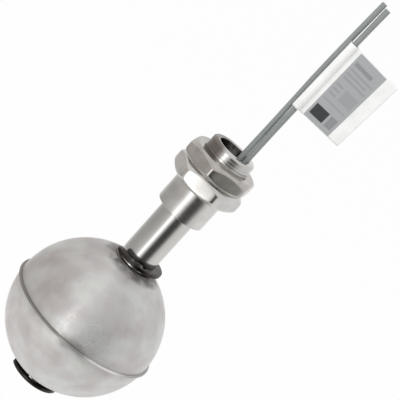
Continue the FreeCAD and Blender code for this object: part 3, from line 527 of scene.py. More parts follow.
def hemisphere_tree():
    """Pressed half of the ball: a sheet rolled into a curved wall, outside from the equator to
    the hole at its pole and back inside, and joined to itself. Side is 1 above, -1 below."""
    tree, given = geometry_tree(
        "pressed_hemisphere", Radius=(SIZE, 0.0254), Wall=(SIZE, 0.0007), Hole=(SIZE, 0.007),
        Centre=(SIZE, 0.0), Side=(SIZE, 1.0), Columns=(COUNT, 193), Rows=(COUNT, 145))
    grid = add_node(tree, "GeometryNodeMeshGrid",
                    {"Size X": 2 * math.pi, "Size Y": 2.0, "Vertices X": given["Columns"],
                     "Vertices Y": given["Rows"]})
    place = add_node(tree, "GeometryNodeInputPosition")
    turn, along, _ = add_node(tree, "ShaderNodeSeparateXYZ", {0: place}).outputs
    past = add_node(tree, "ShaderNodeMath", {0: along, 1: 0.001}, operation="GREATER_THAN")
    short = add_node(tree, "ShaderNodeMath", {0: along, 1: 0.999}, operation="LESS_THAN")
    inside = add_node(tree, "ShaderNodeMath", {0: past, 1: short}, operation="MULTIPLY")
    wall = add_node(tree, "ShaderNodeMath", {0: inside, 1: given["Wall"]}, operation="MULTIPLY")
    radius = add_node(tree, "ShaderNodeMath", {0: given["Radius"], 1: wall}, operation="SUBTRACT")
    ratio = add_node(tree, "ShaderNodeMath", {0: given["Hole"], 1: given["Radius"]},
                     operation="DIVIDE")
    top = add_node(tree, "ShaderNodeMath", {0: ratio}, operation="ARCCOSINE")
    back = add_node(tree, "ShaderNodeMath", {0: along}, operation="ABSOLUTE")
    share = add_node(tree, "ShaderNodeMath", {0: 1.0, 1: back}, operation="SUBTRACT")
    climb = add_node(tree, "ShaderNodeMath", {0: share, 1: top}, operation="MULTIPLY")
    level = add_node(tree, "ShaderNodeCombineXYZ", {
        0: add_node(tree, "ShaderNodeMath", {0: turn}, operation="COSINE"),
        1: add_node(tree, "ShaderNodeMath", {0: add_node(
            tree, "ShaderNodeMath", {0: turn, 1: given["Side"]}, operation="MULTIPLY")},
            operation="SINE")})
    reach, rise = (add_node(tree, "ShaderNodeMath", {0: radius, 1: add_node(
        tree, "ShaderNodeMath", {0: climb}, operation=way)}, operation="MULTIPLY")
        for way in ("COSINE", "SINE"))
    height = add_node(tree, "ShaderNodeMath", {0: rise, 1: given["Side"], 2: given["Centre"]},
                      operation="MULTIPLY_ADD")
    spread = add_node(tree, "ShaderNodeVectorMath", {0: level, "Scale": reach.outputs[0]},
                      operation="SCALE")
    spot = add_node(tree, "ShaderNodeVectorMath",
                    {0: spread, 1: add_node(tree, "ShaderNodeCombineXYZ", {2: height})})
    shaped = add_node(tree, "GeometryNodeSetPosition", {"Geometry": grid, "Position": spot})
    joined = add_node(tree, "GeometryNodeMergeByDistance", {"Geometry": shaped, "Distance": 1e-6})
    return close_tree(tree, joined, given)


def thread_tree():
    """Screw thread: a rounded ridge that winds round a core and is cut back by the lead-in
    chamfer at its end."""
    tree, given = geometry_tree(
        "screw_thread", Crest_radius=(SIZE, 0.008), Ridge_radius=(SIZE, 0.0004),
        Pitch=(SIZE, 0.001), Turns=(SIZE, 4.0), Start=(SIZE, 0.0), Chamfer_height=(SIZE, 0.0035))
    centre = add_node(tree, "ShaderNodeMath",
                      {0: given["Crest radius"], 1: given["Ridge radius"]}, operation="SUBTRACT")
    rise = add_node(tree, "ShaderNodeMath", {0: given["Pitch"], 1: given["Turns"]},
                    operation="MULTIPLY")
    helix = add_node(tree, "GeometryNodeCurveSpiral",
                     {"Resolution": 96, "Rotations": given["Turns"], "Start Radius": centre,
                      "End Radius": centre, "Height": rise})
    ring = add_node(tree, "GeometryNodeCurvePrimitiveCircle",
                    {"Resolution": 16, "Radius": given["Ridge radius"]})
    ridge = add_node(tree, "GeometryNodeCurveToMesh",
                     {"Curve": helix, "Profile Curve": ring, "Fill Caps": True})
    raised = add_node(tree, "GeometryNodeTransform",
                      {"Geometry": ridge, "Translation": add_node(
                          tree, "ShaderNodeCombineXYZ", {2: given["Start"]})})
    place = add_node(tree, "GeometryNodeInputPosition")
    across, deep, height = add_node(tree, "ShaderNodeSeparateXYZ", {0: place}).outputs
    level = add_node(tree, "ShaderNodeCombineXYZ", {0: across, 1: deep})
    radius = add_node(tree, "ShaderNodeVectorMath", {0: level},
                      operation="LENGTH").outputs["Value"]
    over = add_node(tree, "ShaderNodeMath", {0: height, 1: given["Chamfer height"]},
                    operation="SUBTRACT")
    over = add_node(tree, "ShaderNodeMath", {0: over, 1: 0.0}, operation="MAXIMUM")
    limit = add_node(tree, "ShaderNodeMath", {0: given["Crest radius"], 1: over},
                     operation="SUBTRACT")
    share = add_node(tree, "ShaderNodeMath", {0: limit, 1: radius}, operation="DIVIDE")
    share = add_node(tree, "ShaderNodeMath", {0: share, 1: 1.0}, operation="MINIMUM")
    shrink = add_node(tree, "ShaderNodeCombineXYZ", {0: share, 1: share, 2: 1.0})
    cut = add_node(tree, "ShaderNodeVectorMath", {0: place, 1: shrink}, operation="MULTIPLY")
    shaped = add_node(tree, "GeometryNodeSetPosition", {"Geometry": raised, "Position": cut})
    return close_tree(tree, shaped, given)


def weld_bead_tree():
    """Weld bead round the ball: a ring with an oval section and small, slightly uneven ripples
    left by the welding arc."""
    tree, given = geometry_tree(
        "weld_bead", Ring_radius=(SIZE, 0.0254), Half_width=(SIZE, 0.00045),
        Proud=(SIZE, 0.00085), Height=(SIZE, 0.0), Ripples=(COUNT, 240),
        Ripple_depth=(SIZE, 0.00003), Seed=(SIZE, 3.0))
    ring = add_node(tree, "GeometryNodeCurvePrimitiveCircle",
                    {"Resolution": 960, "Radius": given["Ring radius"]})
    oval = add_node(tree, "GeometryNodeTransform",
                    {"Geometry": add_node(tree, "GeometryNodeCurvePrimitiveCircle",
                                          {"Resolution": 20, "Radius": 1.0}),
                     "Scale": add_node(tree, "ShaderNodeCombineXYZ", {
                         0: given["Proud"], 1: given["Half width"], 2: 1.0})})
    bead = add_node(tree, "GeometryNodeCurveToMesh", {"Curve": ring, "Profile Curve": oval})
    place = add_node(tree, "GeometryNodeInputPosition")
    across, deep, _ = add_node(tree, "ShaderNodeSeparateXYZ", {0: place}).outputs
    angle = add_node(tree, "ShaderNodeMath", {0: deep, 1: across}, operation="ARCTAN2")
    phase = add_node(tree, "ShaderNodeMath", {0: angle, 1: given["Ripples"]},
                     operation="MULTIPLY")
    wobble = add_node(tree, "ShaderNodeTexNoise",
                      {"Vector": place, "W": given["Seed"], "Scale": 400.0, "Detail": 2.0},
                      noise_dimensions="4D")
    phase = add_node(tree, "ShaderNodeMath", {0: wobble, 1: 9.0, 2: phase},
                     operation="MULTIPLY_ADD")
    wave = add_node(tree, "ShaderNodeMath", {0: phase}, operation="SINE")
    ripple = add_node(tree, "ShaderNodeMath", {0: wave, 1: given["Ripple depth"]},
                      operation="MULTIPLY")
    swell = add_node(tree, "ShaderNodeVectorMath",
                     {0: add_node(tree, "GeometryNodeInputNormal"), "Scale": ripple.outputs[0]},
                     operation="SCALE")
    lift = add_node(tree, "ShaderNodeVectorMath",
                    {0: swell, 1: add_node(tree, "ShaderNodeCombineXYZ", {2: given["Height"]})})
    shaped = add_node(tree, "GeometryNodeSetPosition", {"Geometry": bead, "Offset": lift})
    return close_tree(tree, shaped, given)


def strand_tree():
    """Cut end of a stranded conductor: six strands round one, each a short rod."""
    tree, given = geometry_tree(
        "conductor_strands", Strand_radius=(SIZE, 0.00017), Strand_length=(SIZE, 0.001),
        Foot=("NodeSocketVector", None))
    rod = add_node(tree, "GeometryNodeMeshCylinder",
                   {"Vertices": 16, "Radius": given["Strand radius"],
                    "Depth": given["Strand length"]})
    bundle = add_node(tree, "ShaderNodeMath", {0: given["Strand radius"], 1: 2.02},
                      operation="MULTIPLY")
    around = add_node(tree, "GeometryNodeMeshCircle", {"Vertices": 6, "Radius": bundle})
    outer = add_node(tree, "GeometryNodeInstanceOnPoints", {"Points": around, "Instance": rod})
    whole = add_node(tree, "GeometryNodeJoinGeometry")
    for part in (outer, rod):
        tree.links.new(part.outputs[0], whole.inputs[0])
    moved = add_node(tree, "GeometryNodeTransform",
                     {"Geometry": whole, "Translation": given["Foot"]})
    return close_tree(tree, moved, given)


# ------------------------------------------------------------------ settings
def length(name, description, default, low=0.0, high=200.0):
    return FloatProperty(name=name, description=description, default=default * MM, min=low * MM,
                         max=high * MM, precision=5, unit="LENGTH")


def shade(name, description, code):
    return FloatVectorProperty(name=name, description=description, size=3, min=0.0, max=1.0,
                               subtype="COLOR", default=linear(code)[:3])


def share(name, description, default):
    return FloatProperty(name=name, description=description, default=default, min=0.0, max=1.0,
                         subtype="FACTOR")


def bearing(name, description, degrees):
    return FloatProperty(name=name, description=description, default=math.radians(degrees),
                         subtype="ANGLE")


class FloatSwitchSettings(bpy.types.PropertyGroup):
    """Sizes and finishes of the float level switch"""

    hexagon_flats: length("Hexagon flats", "Fitting's hexagon across its flats", 22.2)
    hexagon_face: length("Hexagon face", "Round face at the hexagon's ends, diameter", 21.2)
    hexagon_height: length("Hexagon height", "Height of the fitting's hexagon", 6.1)
    hexagon_turn: bearing("Hexagon turn", "Turn of the fitting's flats", 26.0)
    nut_flats: length("Nut flats", "Jam nut across its flats", 22.7)
    nut_face: length("Nut face", "Round face at the nut's ends, diameter", 21.7)
    nut_turn: bearing("Nut turn", "Turn of the nut's flats", -5.5)
    corner_drop: length("Corner drop", "Height of the chamfer on the hexagons' corners", 1.3)
    collar_radius: length("Collar radius", "Round collar under the hexagon", 8.5)
    stub_radius: length("Stub radius", "Crest of the stub's thread", 8.0)
    stub_bore: length("Stub bore", "Bore of the stub, radius", 5.7)
    socket_depth: length("Socket depth", "How far the stem goes into the fitting", 14.0)
    thread_pitch: length("Thread pitch", "Rise of the thread per turn", 1.0)
    thread_ridge: length("Thread ridge", "Radius of the thread's rounded ridge", 0.8)
    thread_depth: length("Thread depth", "How far the thread stands proud of the stub", 0.055)
    thread_relief: length("Thread relief", "Height of the groove under the thread", 0.8)
    stem_wall: length("Stem wall", "Wall of the stem", 1.2)
    groove_depth: length("Groove depth", "Depth of the clips' grooves", 0.5)
    shell_wall: length("Shell wall", "Wall of the ball", 0.7)
    weld_ripples: IntProperty(name="Weld ripples", description="Ripples round the weld bead",
                              default=240, min=0, max=600)
    ripple_depth: length("Ripple depth", "Depth of the weld's ripples", 0.03)
    wire_diameter: length("Wire diameter", "Lead wire over its insulation", 1.85)
    film_thickness: length("Film", "Thickness of the label's film", 0.1)
    ball_colour: shade("Ball", "Satin polished ball", "#E8E8E6")
    stem_colour: shade("Stem", "Drawn, polished stem", "#C9C8C5")
    fitting_colour: shade("Fitting", "Turned and milled fitting", "#D0CECB")
    nut_colour: shade("Nut", "Jam nut", "#BDB9B5")
    clip_colour: shade("E-clips", "Spring steel E-clips", "#2F2C2A")
    weld_colour: shade("Weld", "Weld bead", "#8E8A87")
    # The guide tube is coloured a dark brownish grey all over.
    hub_colour: shade("Hub", "Ends of the guide tube, dark brownish grey", "#6E6664")
    wire_colour: shade("Wires", "Insulation of the lead wires", "#858A89")
    film_colour: shade("Label", "Film of the flag label", "#F7F7F6")
    ball_lines: share("Ball lines", "How far the lines draw reflections out", 0.8)
    ball_highs: share("Ball highs", "Softness of the shine on the polished highs", 0.12)
    ball_roughness: share("Ball roughness", "Softness of the ball's reflections", 0.85)
    stem_roughness: share("Stem roughness", "Softness of the stem's reflections", 0.12)
    fitting_roughness: share("Fitting roughness", "Softness of the fitting's reflections", 0.15)
    # Strength of the painted shade down the stub's left side.
    stub_painted_shade: share("Stub painted shade", "Strength of the brown tint on the stub", 0.8)
    nut_roughness: share("Nut roughness", "Softness of the nut's reflections", 0.19)
    heat_tint: share("Heat tint", "Strength of the tint beside the weld", 0.55)


class FloatSwitchStage(bpy.types.PropertyGroup):
    """Camera, floor and light of the float level switch"""

    focal_length: FloatProperty(name="Focal length", description="Camera lens on a 36 mm frame",
                                default=140.18, min=10.0, max=500.0, subtype="DISTANCE_CAMERA")
    distance: length("Distance", "From the aim to the camera", 480.3, 100, 5000)
    heading: bearing("Heading", "Camera's turn round the stem", -0.267)
    elevation: bearing("Elevation", "Camera's height seen from the aim", 16.104)
    roll: bearing("Roll", "Turn of the camera about its line of sight", 42.075)
    aim: FloatVectorProperty(name="Aim", description="Where the camera looks", size=3,
                             default=(0.002152, 0.0, -0.015057), subtype="TRANSLATION",
                             unit="LENGTH", precision=5)
    floor_height: length("Floor", "Height of the floor", -300.0, -1000, 0)
    key_power: FloatProperty(name="Key light", description="Power of the large soft lamp",
                             default=5.0, min=0.0, unit="POWER")
    sky_strength: FloatProperty(name="Sky", description="Strength of the even light",
                                default=0.82, min=0.0, max=4.0)


# ------------------------------------------------------------------ pieces
def hexagon_rows(low, high, face_radius, drop):
    """Profile rows up one hexagon: close together over its two chamfers, wide between them."""
    steps = [0.0, 0.04, 0.1, 0.17, 0.24, 0.3, 0.37, 0.45]
    steps += [0.45 + 0.085 * n for n in range(1, 15)]
    steps = [s for s in steps if s < drop + 0.3]
    middle = [low + steps[-1] + (high - low - 2 * steps[-1]) * n / 8 for n in range(1, 8)]
    heights = [low + s for s in steps] + middle + [high - s for s in reversed(steps)]
    return [(face_radius + 1, height) for height in heights]


class FloatSwitchPart:
    """What the operators share"""

    bl_options = {"REGISTER", "UNDO"}

    @property
    def settings(self):
        return bpy.context.scene.float_switch


class FLOATSWITCH_OT_fitting(FloatSwitchPart, bpy.types.Operator):
    """Turn and mill the fitting: collar, hexagon and stub with its bore"""

    bl_idname = "float_switch.fitting"
    bl_label = "Mounting fitting"

    def execute(self, context):
        given = self.settings
        low, top = FITTING_LOW.z, FITTING_HIGH.z
        hex_high = NUT_LOW.z
        hex_low = hex_high - given.hexagon_height / MM
        face = given.hexagon_face / 2 / MM
        collar, crest = given.collar_radius / MM, given.stub_radius / MM
        bore, core = given.stub_bore / MM, (given.stub_radius - given.thread_depth) / MM
        socket, relief = STEM_R + SEAT, given.thread_relief / MM
        socket_top = low + given.socket_depth / MM
        turned = rounded([
            (socket, low), (collar, low), (collar, hex_low - 0.35), (collar + 0.02, hex_low)],
            0.35)
        rim = face - FACE_STEP
        ends = [(rim, hex_low)] + hexagon_rows(hex_low, hex_high, face, given.corner_drop / MM)
        above = rounded([
            (rim, hex_high), (crest - 0.4, hex_high), (crest - 0.4, hex_high + relief),
            (core, hex_high + relief), (core, top - 0.5), (core - 0.5, top), (bore + 0.1, top),
            (bore, top - 0.1), (bore, socket_top), (socket, socket_top)], 0.1)
        reach = hexagon_reach(given.hexagon_flats / MM, face, given.corner_drop / MM, hex_low,
                              hex_high, given.hexagon_turn)
        mesh = turned_mesh("fitting_body", turned + ends + above, 432, reach, 28)
        finished("fitting_body", mesh, turned_fitting_stainless(given), "base",
                 "turned_stainless", "mounting_fitting")
        return {"FINISHED"}


class FLOATSWITCH_OT_thread(FloatSwitchPart, bpy.types.Operator):
    """Wind the screw thread round the stub, from its relief groove to its chamfered end"""

    bl_idname = "float_switch.thread"
    bl_label = "Stub thread"

    def execute(self, context):
        given = self.settings
        pitch = given.thread_pitch
        start = NUT_LOW.z * MM + given.thread_relief + pitch * 0.1
        end = FITTING_HIGH.z * MM - pitch * 0.55
        mesh = grown("stub_thread", thread_tree(), {
            "Crest radius": given.stub_radius, "Ridge radius": given.thread_ridge,
            "Pitch": pitch, "Turns": (end - start) / pitch, "Start": start,
            "Chamfer height": (FITTING_HIGH.z - LEAD_IN) * MM,
            "Material": turned_fitting_stainless(given)})
        finished("stub_thread", mesh, mesh.materials[0], "base", "turned_stainless")
        return {"FINISHED"}


class FLOATSWITCH_OT_nut(FloatSwitchPart, bpy.types.Operator):
    """Press the jam nut, with chamfered corners and a countersunk bore"""

    bl_idname = "float_switch.nut"
    bl_label = "Jam nut"

    def execute(self, context):
        given = self.settings
        low, high = NUT_LOW.z, NUT_HIGH.z
        face, bore = given.nut_face / 2 / MM, given.stub_radius / MM + NUT_GAP
        rim = face - FACE_STEP
        profile = [(rim, low)] + hexagon_rows(low, high, face, given.corner_drop / MM)
        profile += [(rim, high), (bore + 0.6, high), (bore + 0.5, high - 0.03),
                    (bore, high - 0.5), (bore, low + 0.5), (bore + 0.5, low + 0.03),
                    (bore + 0.6, low)]
        reach = hexagon_reach(given.nut_flats / MM, face, given.corner_drop / MM, low, high,
                              given.nut_turn)
        mesh = turned_mesh("nut_body", profile, 432, reach, 28)
        finished("nut_body", mesh, milled_nut_stainless(given), "nut", "milled_stainless",
                 "jam_nut")
        return {"FINISHED"}


class FLOATSWITCH_OT_stem(FloatSwitchPart, bpy.types.Operator):
    """Draw the stem, with its two clip grooves, and close its lower end"""

    bl_idname = "float_switch.stem"
    bl_label = "Stem"

    def execute(self, context):
        given = self.settings
        bore = STEM_R - given.stem_wall / MM
        deep = STEM_R - given.groove_depth / MM
        low, high = STEM_LOW.z, STEM_HIGH.z
        corners = [(bore, low), (STEM_R - 0.3, low), (STEM_R, low + 0.3)]
        for clip_low, clip_high in CLIPS:
            under, over = clip_low.z - CLIP_GAP, clip_high.z + CLIP_GAP
            corners += [(STEM_R, under), (deep, under), (deep, over), (STEM_R, over)]
        corners += [(STEM_R, high), (bore, high)]
        mesh = turned_mesh("stem_body", rounded(corners, 0.08), 192)
        finished("stem_body", mesh, drawn_stem_stainless(given), "base", "stem_stainless",
                 "stem_tube")
        dress(drawn_stem_stainless(given), "stem_end_plug")
        return {"FINISHED"}


class FLOATSWITCH_OT_clips(FloatSwitchPart, bpy.types.Operator):
    """Stamp the two E-clips that hold the float, with softened edges"""

    bl_idname = "float_switch.clips"
    bl_label = "E-clips"

    def execute(self, context):
        material = stamped_spring_steel(self.settings)
        for node in ("upper_clip", "lower_clip"):
            work = bmesh.new()
            work.from_mesh(NODES[node].data)
            bmesh.ops.remove_doubles(work, verts=work.verts, dist=1e-6)
            bmesh.ops.dissolve_limit(work, angle_limit=math.radians(1), verts=work.verts,
                                     edges=work.edges)
            edges = [e for e in work.edges
                     if e.is_manifold and e.calc_face_angle() > math.radians(40)]
            bmesh.ops.bevel(work, geom=edges, offset=0.09 * MM, segments=3, profile=0.5,
                            affect="EDGES", clamp_overlap=True)
            mesh = bpy.data.meshes.new(node + "_stamped")
            work.to_mesh(mesh)
            work.free()
            mesh.shade_smooth()
            mesh.set_sharp_from_angle(angle=math.radians(32))
            finished(node + "_stamped", mesh, material, "base", "spring_steel", node)
        return {"FINISHED"}


class FLOATSWITCH_OT_ball(FloatSwitchPart, bpy.types.Operator):
    """Press the ball's two hemispheres, open where the guide tube passes, and turn that tube"""

    bl_idname = "float_switch.ball"
    bl_label = "Ball and guide tube"

    def execute(self, context):
        given = self.settings
        tree = hemisphere_tree()
        for side, name in ((1, "upper"), (-1, "lower")):
            material = satin_ball_stainless(given, given.ball_lines if side > 0 else 0.0)
            mesh = grown("ball_" + name, tree, {
                "Radius": BALL_R * MM, "Wall": given.shell_wall, "Side": float(side),
                "Hole": (GUIDE_HIGH.x + SEAT) * MM, "Centre": FLOAT_Z * MM,
                "Material": material})
            mesh.set_sharp_from_angle(angle=math.radians(35))
            finished("ball_" + name, mesh, material, "float", "ball_stainless",
                     "float_%s_shell" % name)
        bore = STEM_R + GUIDE_GAP
        corners = [(bore, GUIDE_LOW.z), (GUIDE_HIGH.x, GUIDE_LOW.z),
                   (GUIDE_HIGH.x, GUIDE_HIGH.z), (bore, GUIDE_HIGH.z)]
        mesh = turned_mesh("guide_tube_body", rounded(corners, 0.25, 4), 160)
        finished("guide_tube_body", mesh, dark_hub_stainless(given), "float", "stem_stainless",
                 "float_guide_tube")
        return {"FINISHED"}


class FLOATSWITCH_OT_weld(FloatSwitchPart, bpy.types.Operator):
    """Lay the weld bead round the ball's equator"""

    bl_idname = "float_switch.weld"
    bl_label = "Weld bead"

    def execute(self, context):
        given = self.settings
        proud = SEAM_HIGH.x - BALL_R
        mesh = grown("weld_ring", weld_bead_tree(), {
            "Ring radius": BALL_R * MM, "Half width": (SEAM_HIGH.z - SEAM_LOW.z) / 2 * MM,
            "Proud": (proud - 0.1) * MM, "Height": FLOAT_Z * MM,
            "Ripples": given.weld_ripples, "Ripple depth": given.ripple_depth,
            "Material": brushed_weld_metal(given)})
        finished("weld_ring", mesh, mesh.materials[0], "float", "weld_metal",
                 "float_weld_seam")
        return {"FINISHED"}


class FLOATSWITCH_OT_inside(FloatSwitchPart, bpy.types.Operator):
    """Dress the parts inside: magnet, spacers, reed, leads, sleeves and resin"""

    bl_idname = "float_switch.inside"
    bl_label = "Parts inside"

    def execute(self, context):
        dress(sintered_ferrite(self.settings), "ring_magnet")
        dress(extruded_nylon(self.settings), "magnet_spacer_upper", "magnet_spacer_lower")
        dress(reed_tube_glass(self.settings), "reed_glass")
        dress(plated_reed_alloy(self.settings), "reed_blade_upper", "reed_blade_lower")
        dress(tinned_copper_strand(self.settings), "return_lead", "splice_sleeve_a",
              "splice_sleeve_b")
        dress(extruded_wire_pvc(self.settings), "inner_lead_a", "inner_lead_b")
        dress(cast_epoxy(self.settings), "reed_potting", "potting_seal")
        return {"FINISHED"}


class FLOATSWITCH_OT_wires(FloatSwitchPart, bpy.types.Operator):
    """Run the two lead wires out of the stub, with their cut conductors"""

    bl_idname = "float_switch.wires"
    bl_label = "Lead wires"

    def execute(self, context):
        given = self.settings
        insulation = extruded_wire_pvc(given)
        copper = tinned_copper_strand(given)
        radius = given.wire_diameter / 2
        for letter, route, run in WIRES:
            points = [Vector(place) for place in route]
            curve = bpy.data.curves.new("wire_" + letter, "CURVE")
            curve.dimensions = "3D"
            curve.bevel_depth = radius
            curve.bevel_resolution = 8
            curve.resolution_u = 24
            curve.use_fill_caps = True
            spline = curve.splines.new("NURBS")
            spline.points.add(len(points) - 1)
            for place, point in zip(spline.points, points):
                place.co = (*point, 1.0)
            spline.order_u = 3
            spline.use_endpoint_u = True
            curve.materials.append(insulation)
            wire = bpy.data.objects.new("wire_" + letter, curve)
            context.scene.collection.objects.link(wire)
            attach(wire, "base")
            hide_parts("lead_wire_" + letter)
            foot = points[-1] - Vector((0, 0, 0.00035))
            mesh = grown("strands_" + letter, strand_tree(), {
                "Strand radius": radius * 0.17, "Strand length": 0.0007, "Foot": tuple(foot),
                "Material": copper})
            strands = finished("strands_" + letter, mesh, copper, "base", "tinned_copper")
            if letter == "b":
                self.flag(given)
        return {"FINISHED"}

    def flag(self, given):
        """Folded label: one sheet of film, round the wire and glued to itself."""
        film, tall = given.film_thickness / MM, FLAG_TALL
        loop = FLAG_BORE + film / 2
        leaf = 0.55 * film
        columns, fold, rows = 44, 40, 40
        sheet = [(1 - step / columns, -leaf, 0.0) for step in range(columns + 1)]
        part = math.asin(leaf / loop)
        for step in range(1, fold):
            angle = -part - (2 * math.pi - 2 * part) * step / fold
            sheet.append((0.0, 0.0, angle))
        sheet += [(step / columns, leaf, 0.0) for step in range(columns + 1)]
        turn = Matrix.Rotation(math.radians(FLAG_TILT), 3, "Y")
        foot = Vector((FLAG_X, 0, FLAG_Z))
        vertices, faces, marks = [], [], []
        for row in range(rows + 1):
            up = row / rows
            reach = FLAG_REACH[0] + (FLAG_REACH[1] - FLAG_REACH[0]) * up
            for out, side, angle in sheet:
                if angle:
                    across, deep = loop * math.cos(angle), loop * math.sin(angle)
                else:
                    start = loop * math.cos(part)
                    across = start + (reach - start) * out
                    deep = side + 0.1 * math.sin(2.2 * up + 1.1) * out ** 2 * (1 - 0.4 * up)
                height = up * (tall[0] + (tall[1] - tall[0]) * out)
                point = foot + turn @ Vector((across, deep, height))
                vertices.append(point * MM)
                marks.append((out, up))
        width = len(sheet)
        for row in range(rows):
            for column in range(width - 1):
                corner = row * width + column
                faces.append((corner, corner + 1, corner + width + 1, corner + width))
        mesh = bpy.data.meshes.new("flag")
        mesh.from_pydata(vertices, [], faces)
        layer = mesh.uv_layers.new(name="print")
        for loop_item in mesh.loops:
            layer.data[loop_item.index].uv = marks[loop_item.vertex_index]
        mesh.shade_smooth()
        piece = finished("flag", mesh, printed_label_film(given), "base", "label_film",
                         "flag_label")
        wall = piece.modifiers.new("Solidify", "SOLIDIFY")
        wall.thickness = given.film_thickness
        wall.offset = 0.0
        return piece


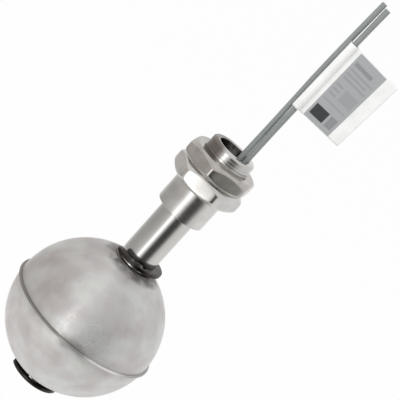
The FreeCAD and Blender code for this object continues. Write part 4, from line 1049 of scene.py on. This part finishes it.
class FLOATSWITCH_OT_stage(FloatSwitchPart, bpy.types.Operator):
    """Set the camera, the pale floor, the even light and the studio's bright and dark panels"""

    bl_idname = "float_switch.stage"
    bl_label = "Stage"

    def execute(self, context):
        given = context.scene.float_switch_stage
        scene = context.scene
        self.camera(scene, given)
        self.floor(scene, given)
        self.panels(scene, given)
        self.light(scene, given)
        scene.view_settings.view_transform = "Standard"
        return {"FINISHED"}

    def camera(self, scene, given):
        data = bpy.data.cameras.new("camera")
        data.lens = given.focal_length
        data.sensor_width = 36.0
        data.clip_start, data.clip_end = 0.01, 20.0
        eye = bpy.data.objects.new("camera", data)
        scene.collection.objects.link(eye)
        eye.matrix_world = (
            Matrix.Translation(given.aim) @ Matrix.Rotation(given.heading, 4, "Z")
            @ Matrix.Rotation(math.pi / 2 - given.elevation, 4, "X")
            @ Matrix.Rotation(given.roll, 4, "Z") @ Matrix.Translation((0, 0, given.distance)))
        scene.camera = eye

    def floor(self, scene, given):
        mesh = bpy.data.meshes.new("floor")
        edge, height = 4.0, given.floor_height
        mesh.from_pydata([(-edge, -edge, height), (edge, -edge, height), (edge, edge, height),
                          (-edge, edge, height)], [], [(0, 1, 2, 3)])
        material, tree = bare_material("pale_floor")
        matt = add_node(tree, "ShaderNodeBsdfDiffuse", {"Color": linear("#EEEEEE")})
        glow = add_node(tree, "ShaderNodeEmission", {"Color": (1, 1, 1, 1), "Strength": 1.0})
        path = add_node(tree, "ShaderNodeLightPath").outputs
        seen = add_node(tree, "ShaderNodeMath", {0: path["Is Camera Ray"],
                                                 1: path["Is Transmission Ray"]},
                        operation="MAXIMUM")
        seen = add_node(tree, "ShaderNodeMath", {0: seen, 1: 0.95}, operation="MULTIPLY")
        both = add_node(tree, "ShaderNodeMixShader", {0: seen, 1: matt, 2: glow})
        add_node(tree, "ShaderNodeOutputMaterial", {"Surface": both})
        mesh.materials.append(material)
        floor = bpy.data.objects.new("floor", mesh)
        scene.collection.objects.link(floor)

    def panels(self, scene, given):
        """Upright ring of bright and dark panels that only reflections see."""
        count, radius, low, high = 96, 0.22, -0.299, 0.6
        vertices, faces = [], []
        for step in range(count):
            angle = 2 * math.pi * step / count
            for height in (low, high):
                vertices.append((radius * math.cos(angle), radius * math.sin(angle), height))
        for step in range(count):
            a, b = 2 * step, 2 * ((step + 1) % count)
            faces.append((a, a + 1, b + 1, b))
        mesh = bpy.data.meshes.new("panels")
        mesh.from_pydata(vertices, [], faces)
        material, tree = bare_material("studio_panels")
        place = add_node(tree, "ShaderNodeTexCoord").outputs["Object"]
        across, deep, up = add_node(tree, "ShaderNodeSeparateXYZ", {0: place}).outputs
        front = add_node(tree, "ShaderNodeMath", {0: deep, 1: -1.0}, operation="MULTIPLY")
        angle = add_node(tree, "ShaderNodeMath", {0: across, 1: front}, operation="ARCTAN2")
        turn = add_node(tree, "ShaderNodeMath", {0: angle, 1: 0.5 / math.pi, 2: 0.5},
                        operation="MULTIPLY_ADD")
        rows = []
        for stops in PANELS:
            ramp = add_node(tree, "ShaderNodeValToRGB", {0: turn})
            fill_ramp(ramp, [
                (degrees / 360 + 0.5, tuple(level / 4 * part for part in linear(tint)[:3]) + (1,))
                for degrees, level, tint in stops])
            rows.append(ramp)
        upper = add_node(tree, "ShaderNodeMapRange",
                         {"Value": up, "From Min": -0.076, "From Max": -0.070},
                         interpolation_type="SMOOTHSTEP")
        edge = add_node(tree, "ShaderNodeMix", {0: upper, 6: rows[0], 7: rows[1]},
                        data_type="RGBA").outputs[2]
        for start, end in ((-0.18, -0.24), (-0.01, 0.06)):
            past = add_node(tree, "ShaderNodeMapRange",
                            {"Value": up, "From Min": start, "From Max": end},
                            interpolation_type="SMOOTHSTEP")
            edge = add_node(tree, "ShaderNodeMix",
                            {0: past, 6: edge, 7: (0.23, 0.23, 0.23, 1)},
                            data_type="RGBA").outputs[2]
        glow = add_node(tree, "ShaderNodeEmission", {"Color": edge, "Strength": 4.0})
        add_node(tree, "ShaderNodeOutputMaterial", {"Surface": glow})
        mesh.materials.append(material)
        ring = bpy.data.objects.new("panels", mesh)
        scene.collection.objects.link(ring)
        for ray in ("camera", "diffuse", "shadow", "transmission", "volume_scatter"):
            setattr(ring, "visible_" + ray, False)

    def light(self, scene, given):
        world = bpy.data.worlds.new("studio")
        world.use_nodes = True
        tree = world.node_tree
        tree.nodes.clear()
        path = add_node(tree, "ShaderNodeLightPath").outputs
        seen = add_node(tree, "ShaderNodeMath", {0: path["Is Camera Ray"],
                                                 1: path["Is Glossy Ray"]}, operation="MAXIMUM")
        seen = add_node(tree, "ShaderNodeMath", {0: seen, 1: path["Is Transmission Ray"]},
                        operation="MAXIMUM")
        level = add_node(tree, "ShaderNodeMapRange",
                         {"Value": seen, "To Min": given.sky_strength, "To Max": 1.0})
        glow = add_node(tree, "ShaderNodeBackground", {"Color": (1, 1, 1, 1), "Strength": level})
        add_node(tree, "ShaderNodeOutputWorld", {"Surface": glow})
        scene.world = world
        data = bpy.data.lights.new("key", "AREA")
        data.shape = "DISK"
        data.size = 0.6
        data.energy = given.key_power
        lamp = bpy.data.objects.new("key", data)
        scene.collection.objects.link(lamp)
        lamp.visible_glossy = False
        place = Vector((-0.5, -0.6, 0.9))
        aim = Vector((0, 0, -0.03)) - place
        lamp.matrix_world = (Matrix.Translation(place)
                             @ aim.to_track_quat("-Z", "Y").to_matrix().to_4x4())


class FLOATSWITCH_PT_sidebar(bpy.types.Panel):
    """Buttons for the float level switch"""

    bl_idname = "FLOATSWITCH_PT_sidebar"
    bl_label = "Float switch"
    bl_space_type = "VIEW_3D"
    bl_region_type = "UI"
    bl_category = "Float switch"

    def draw(self, context):
        for piece in STEPS:
            self.layout.operator(piece.bl_idname)
        for group in (context.scene.float_switch, context.scene.float_switch_stage):
            for key in group.__annotations__:
                self.layout.prop(group, key)


STEPS = (FLOATSWITCH_OT_fitting, FLOATSWITCH_OT_thread, FLOATSWITCH_OT_nut,
         FLOATSWITCH_OT_stem, FLOATSWITCH_OT_clips, FLOATSWITCH_OT_ball,
         FLOATSWITCH_OT_weld, FLOATSWITCH_OT_inside, FLOATSWITCH_OT_wires,
         FLOATSWITCH_OT_stage)
CLASSES = (FloatSwitchSettings, FloatSwitchStage) + STEPS + (FLOATSWITCH_PT_sidebar,)


def register():
    for item in CLASSES:
        bpy.utils.register_class(item)
    bpy.types.Scene.float_switch = PointerProperty(type=FloatSwitchSettings)
    bpy.types.Scene.float_switch_stage = PointerProperty(type=FloatSwitchStage)


def unregister():
    del bpy.types.Scene.float_switch_stage
    del bpy.types.Scene.float_switch
    for item in reversed(CLASSES):
        bpy.utils.unregister_class(item)


def main():
    """Builds the whole scene."""
    register()
    for step in STEPS:
        group, name = step.bl_idname.split(".")
        getattr(getattr(bpy.ops, group), name)()


if __name__ == "__main__":
    main()
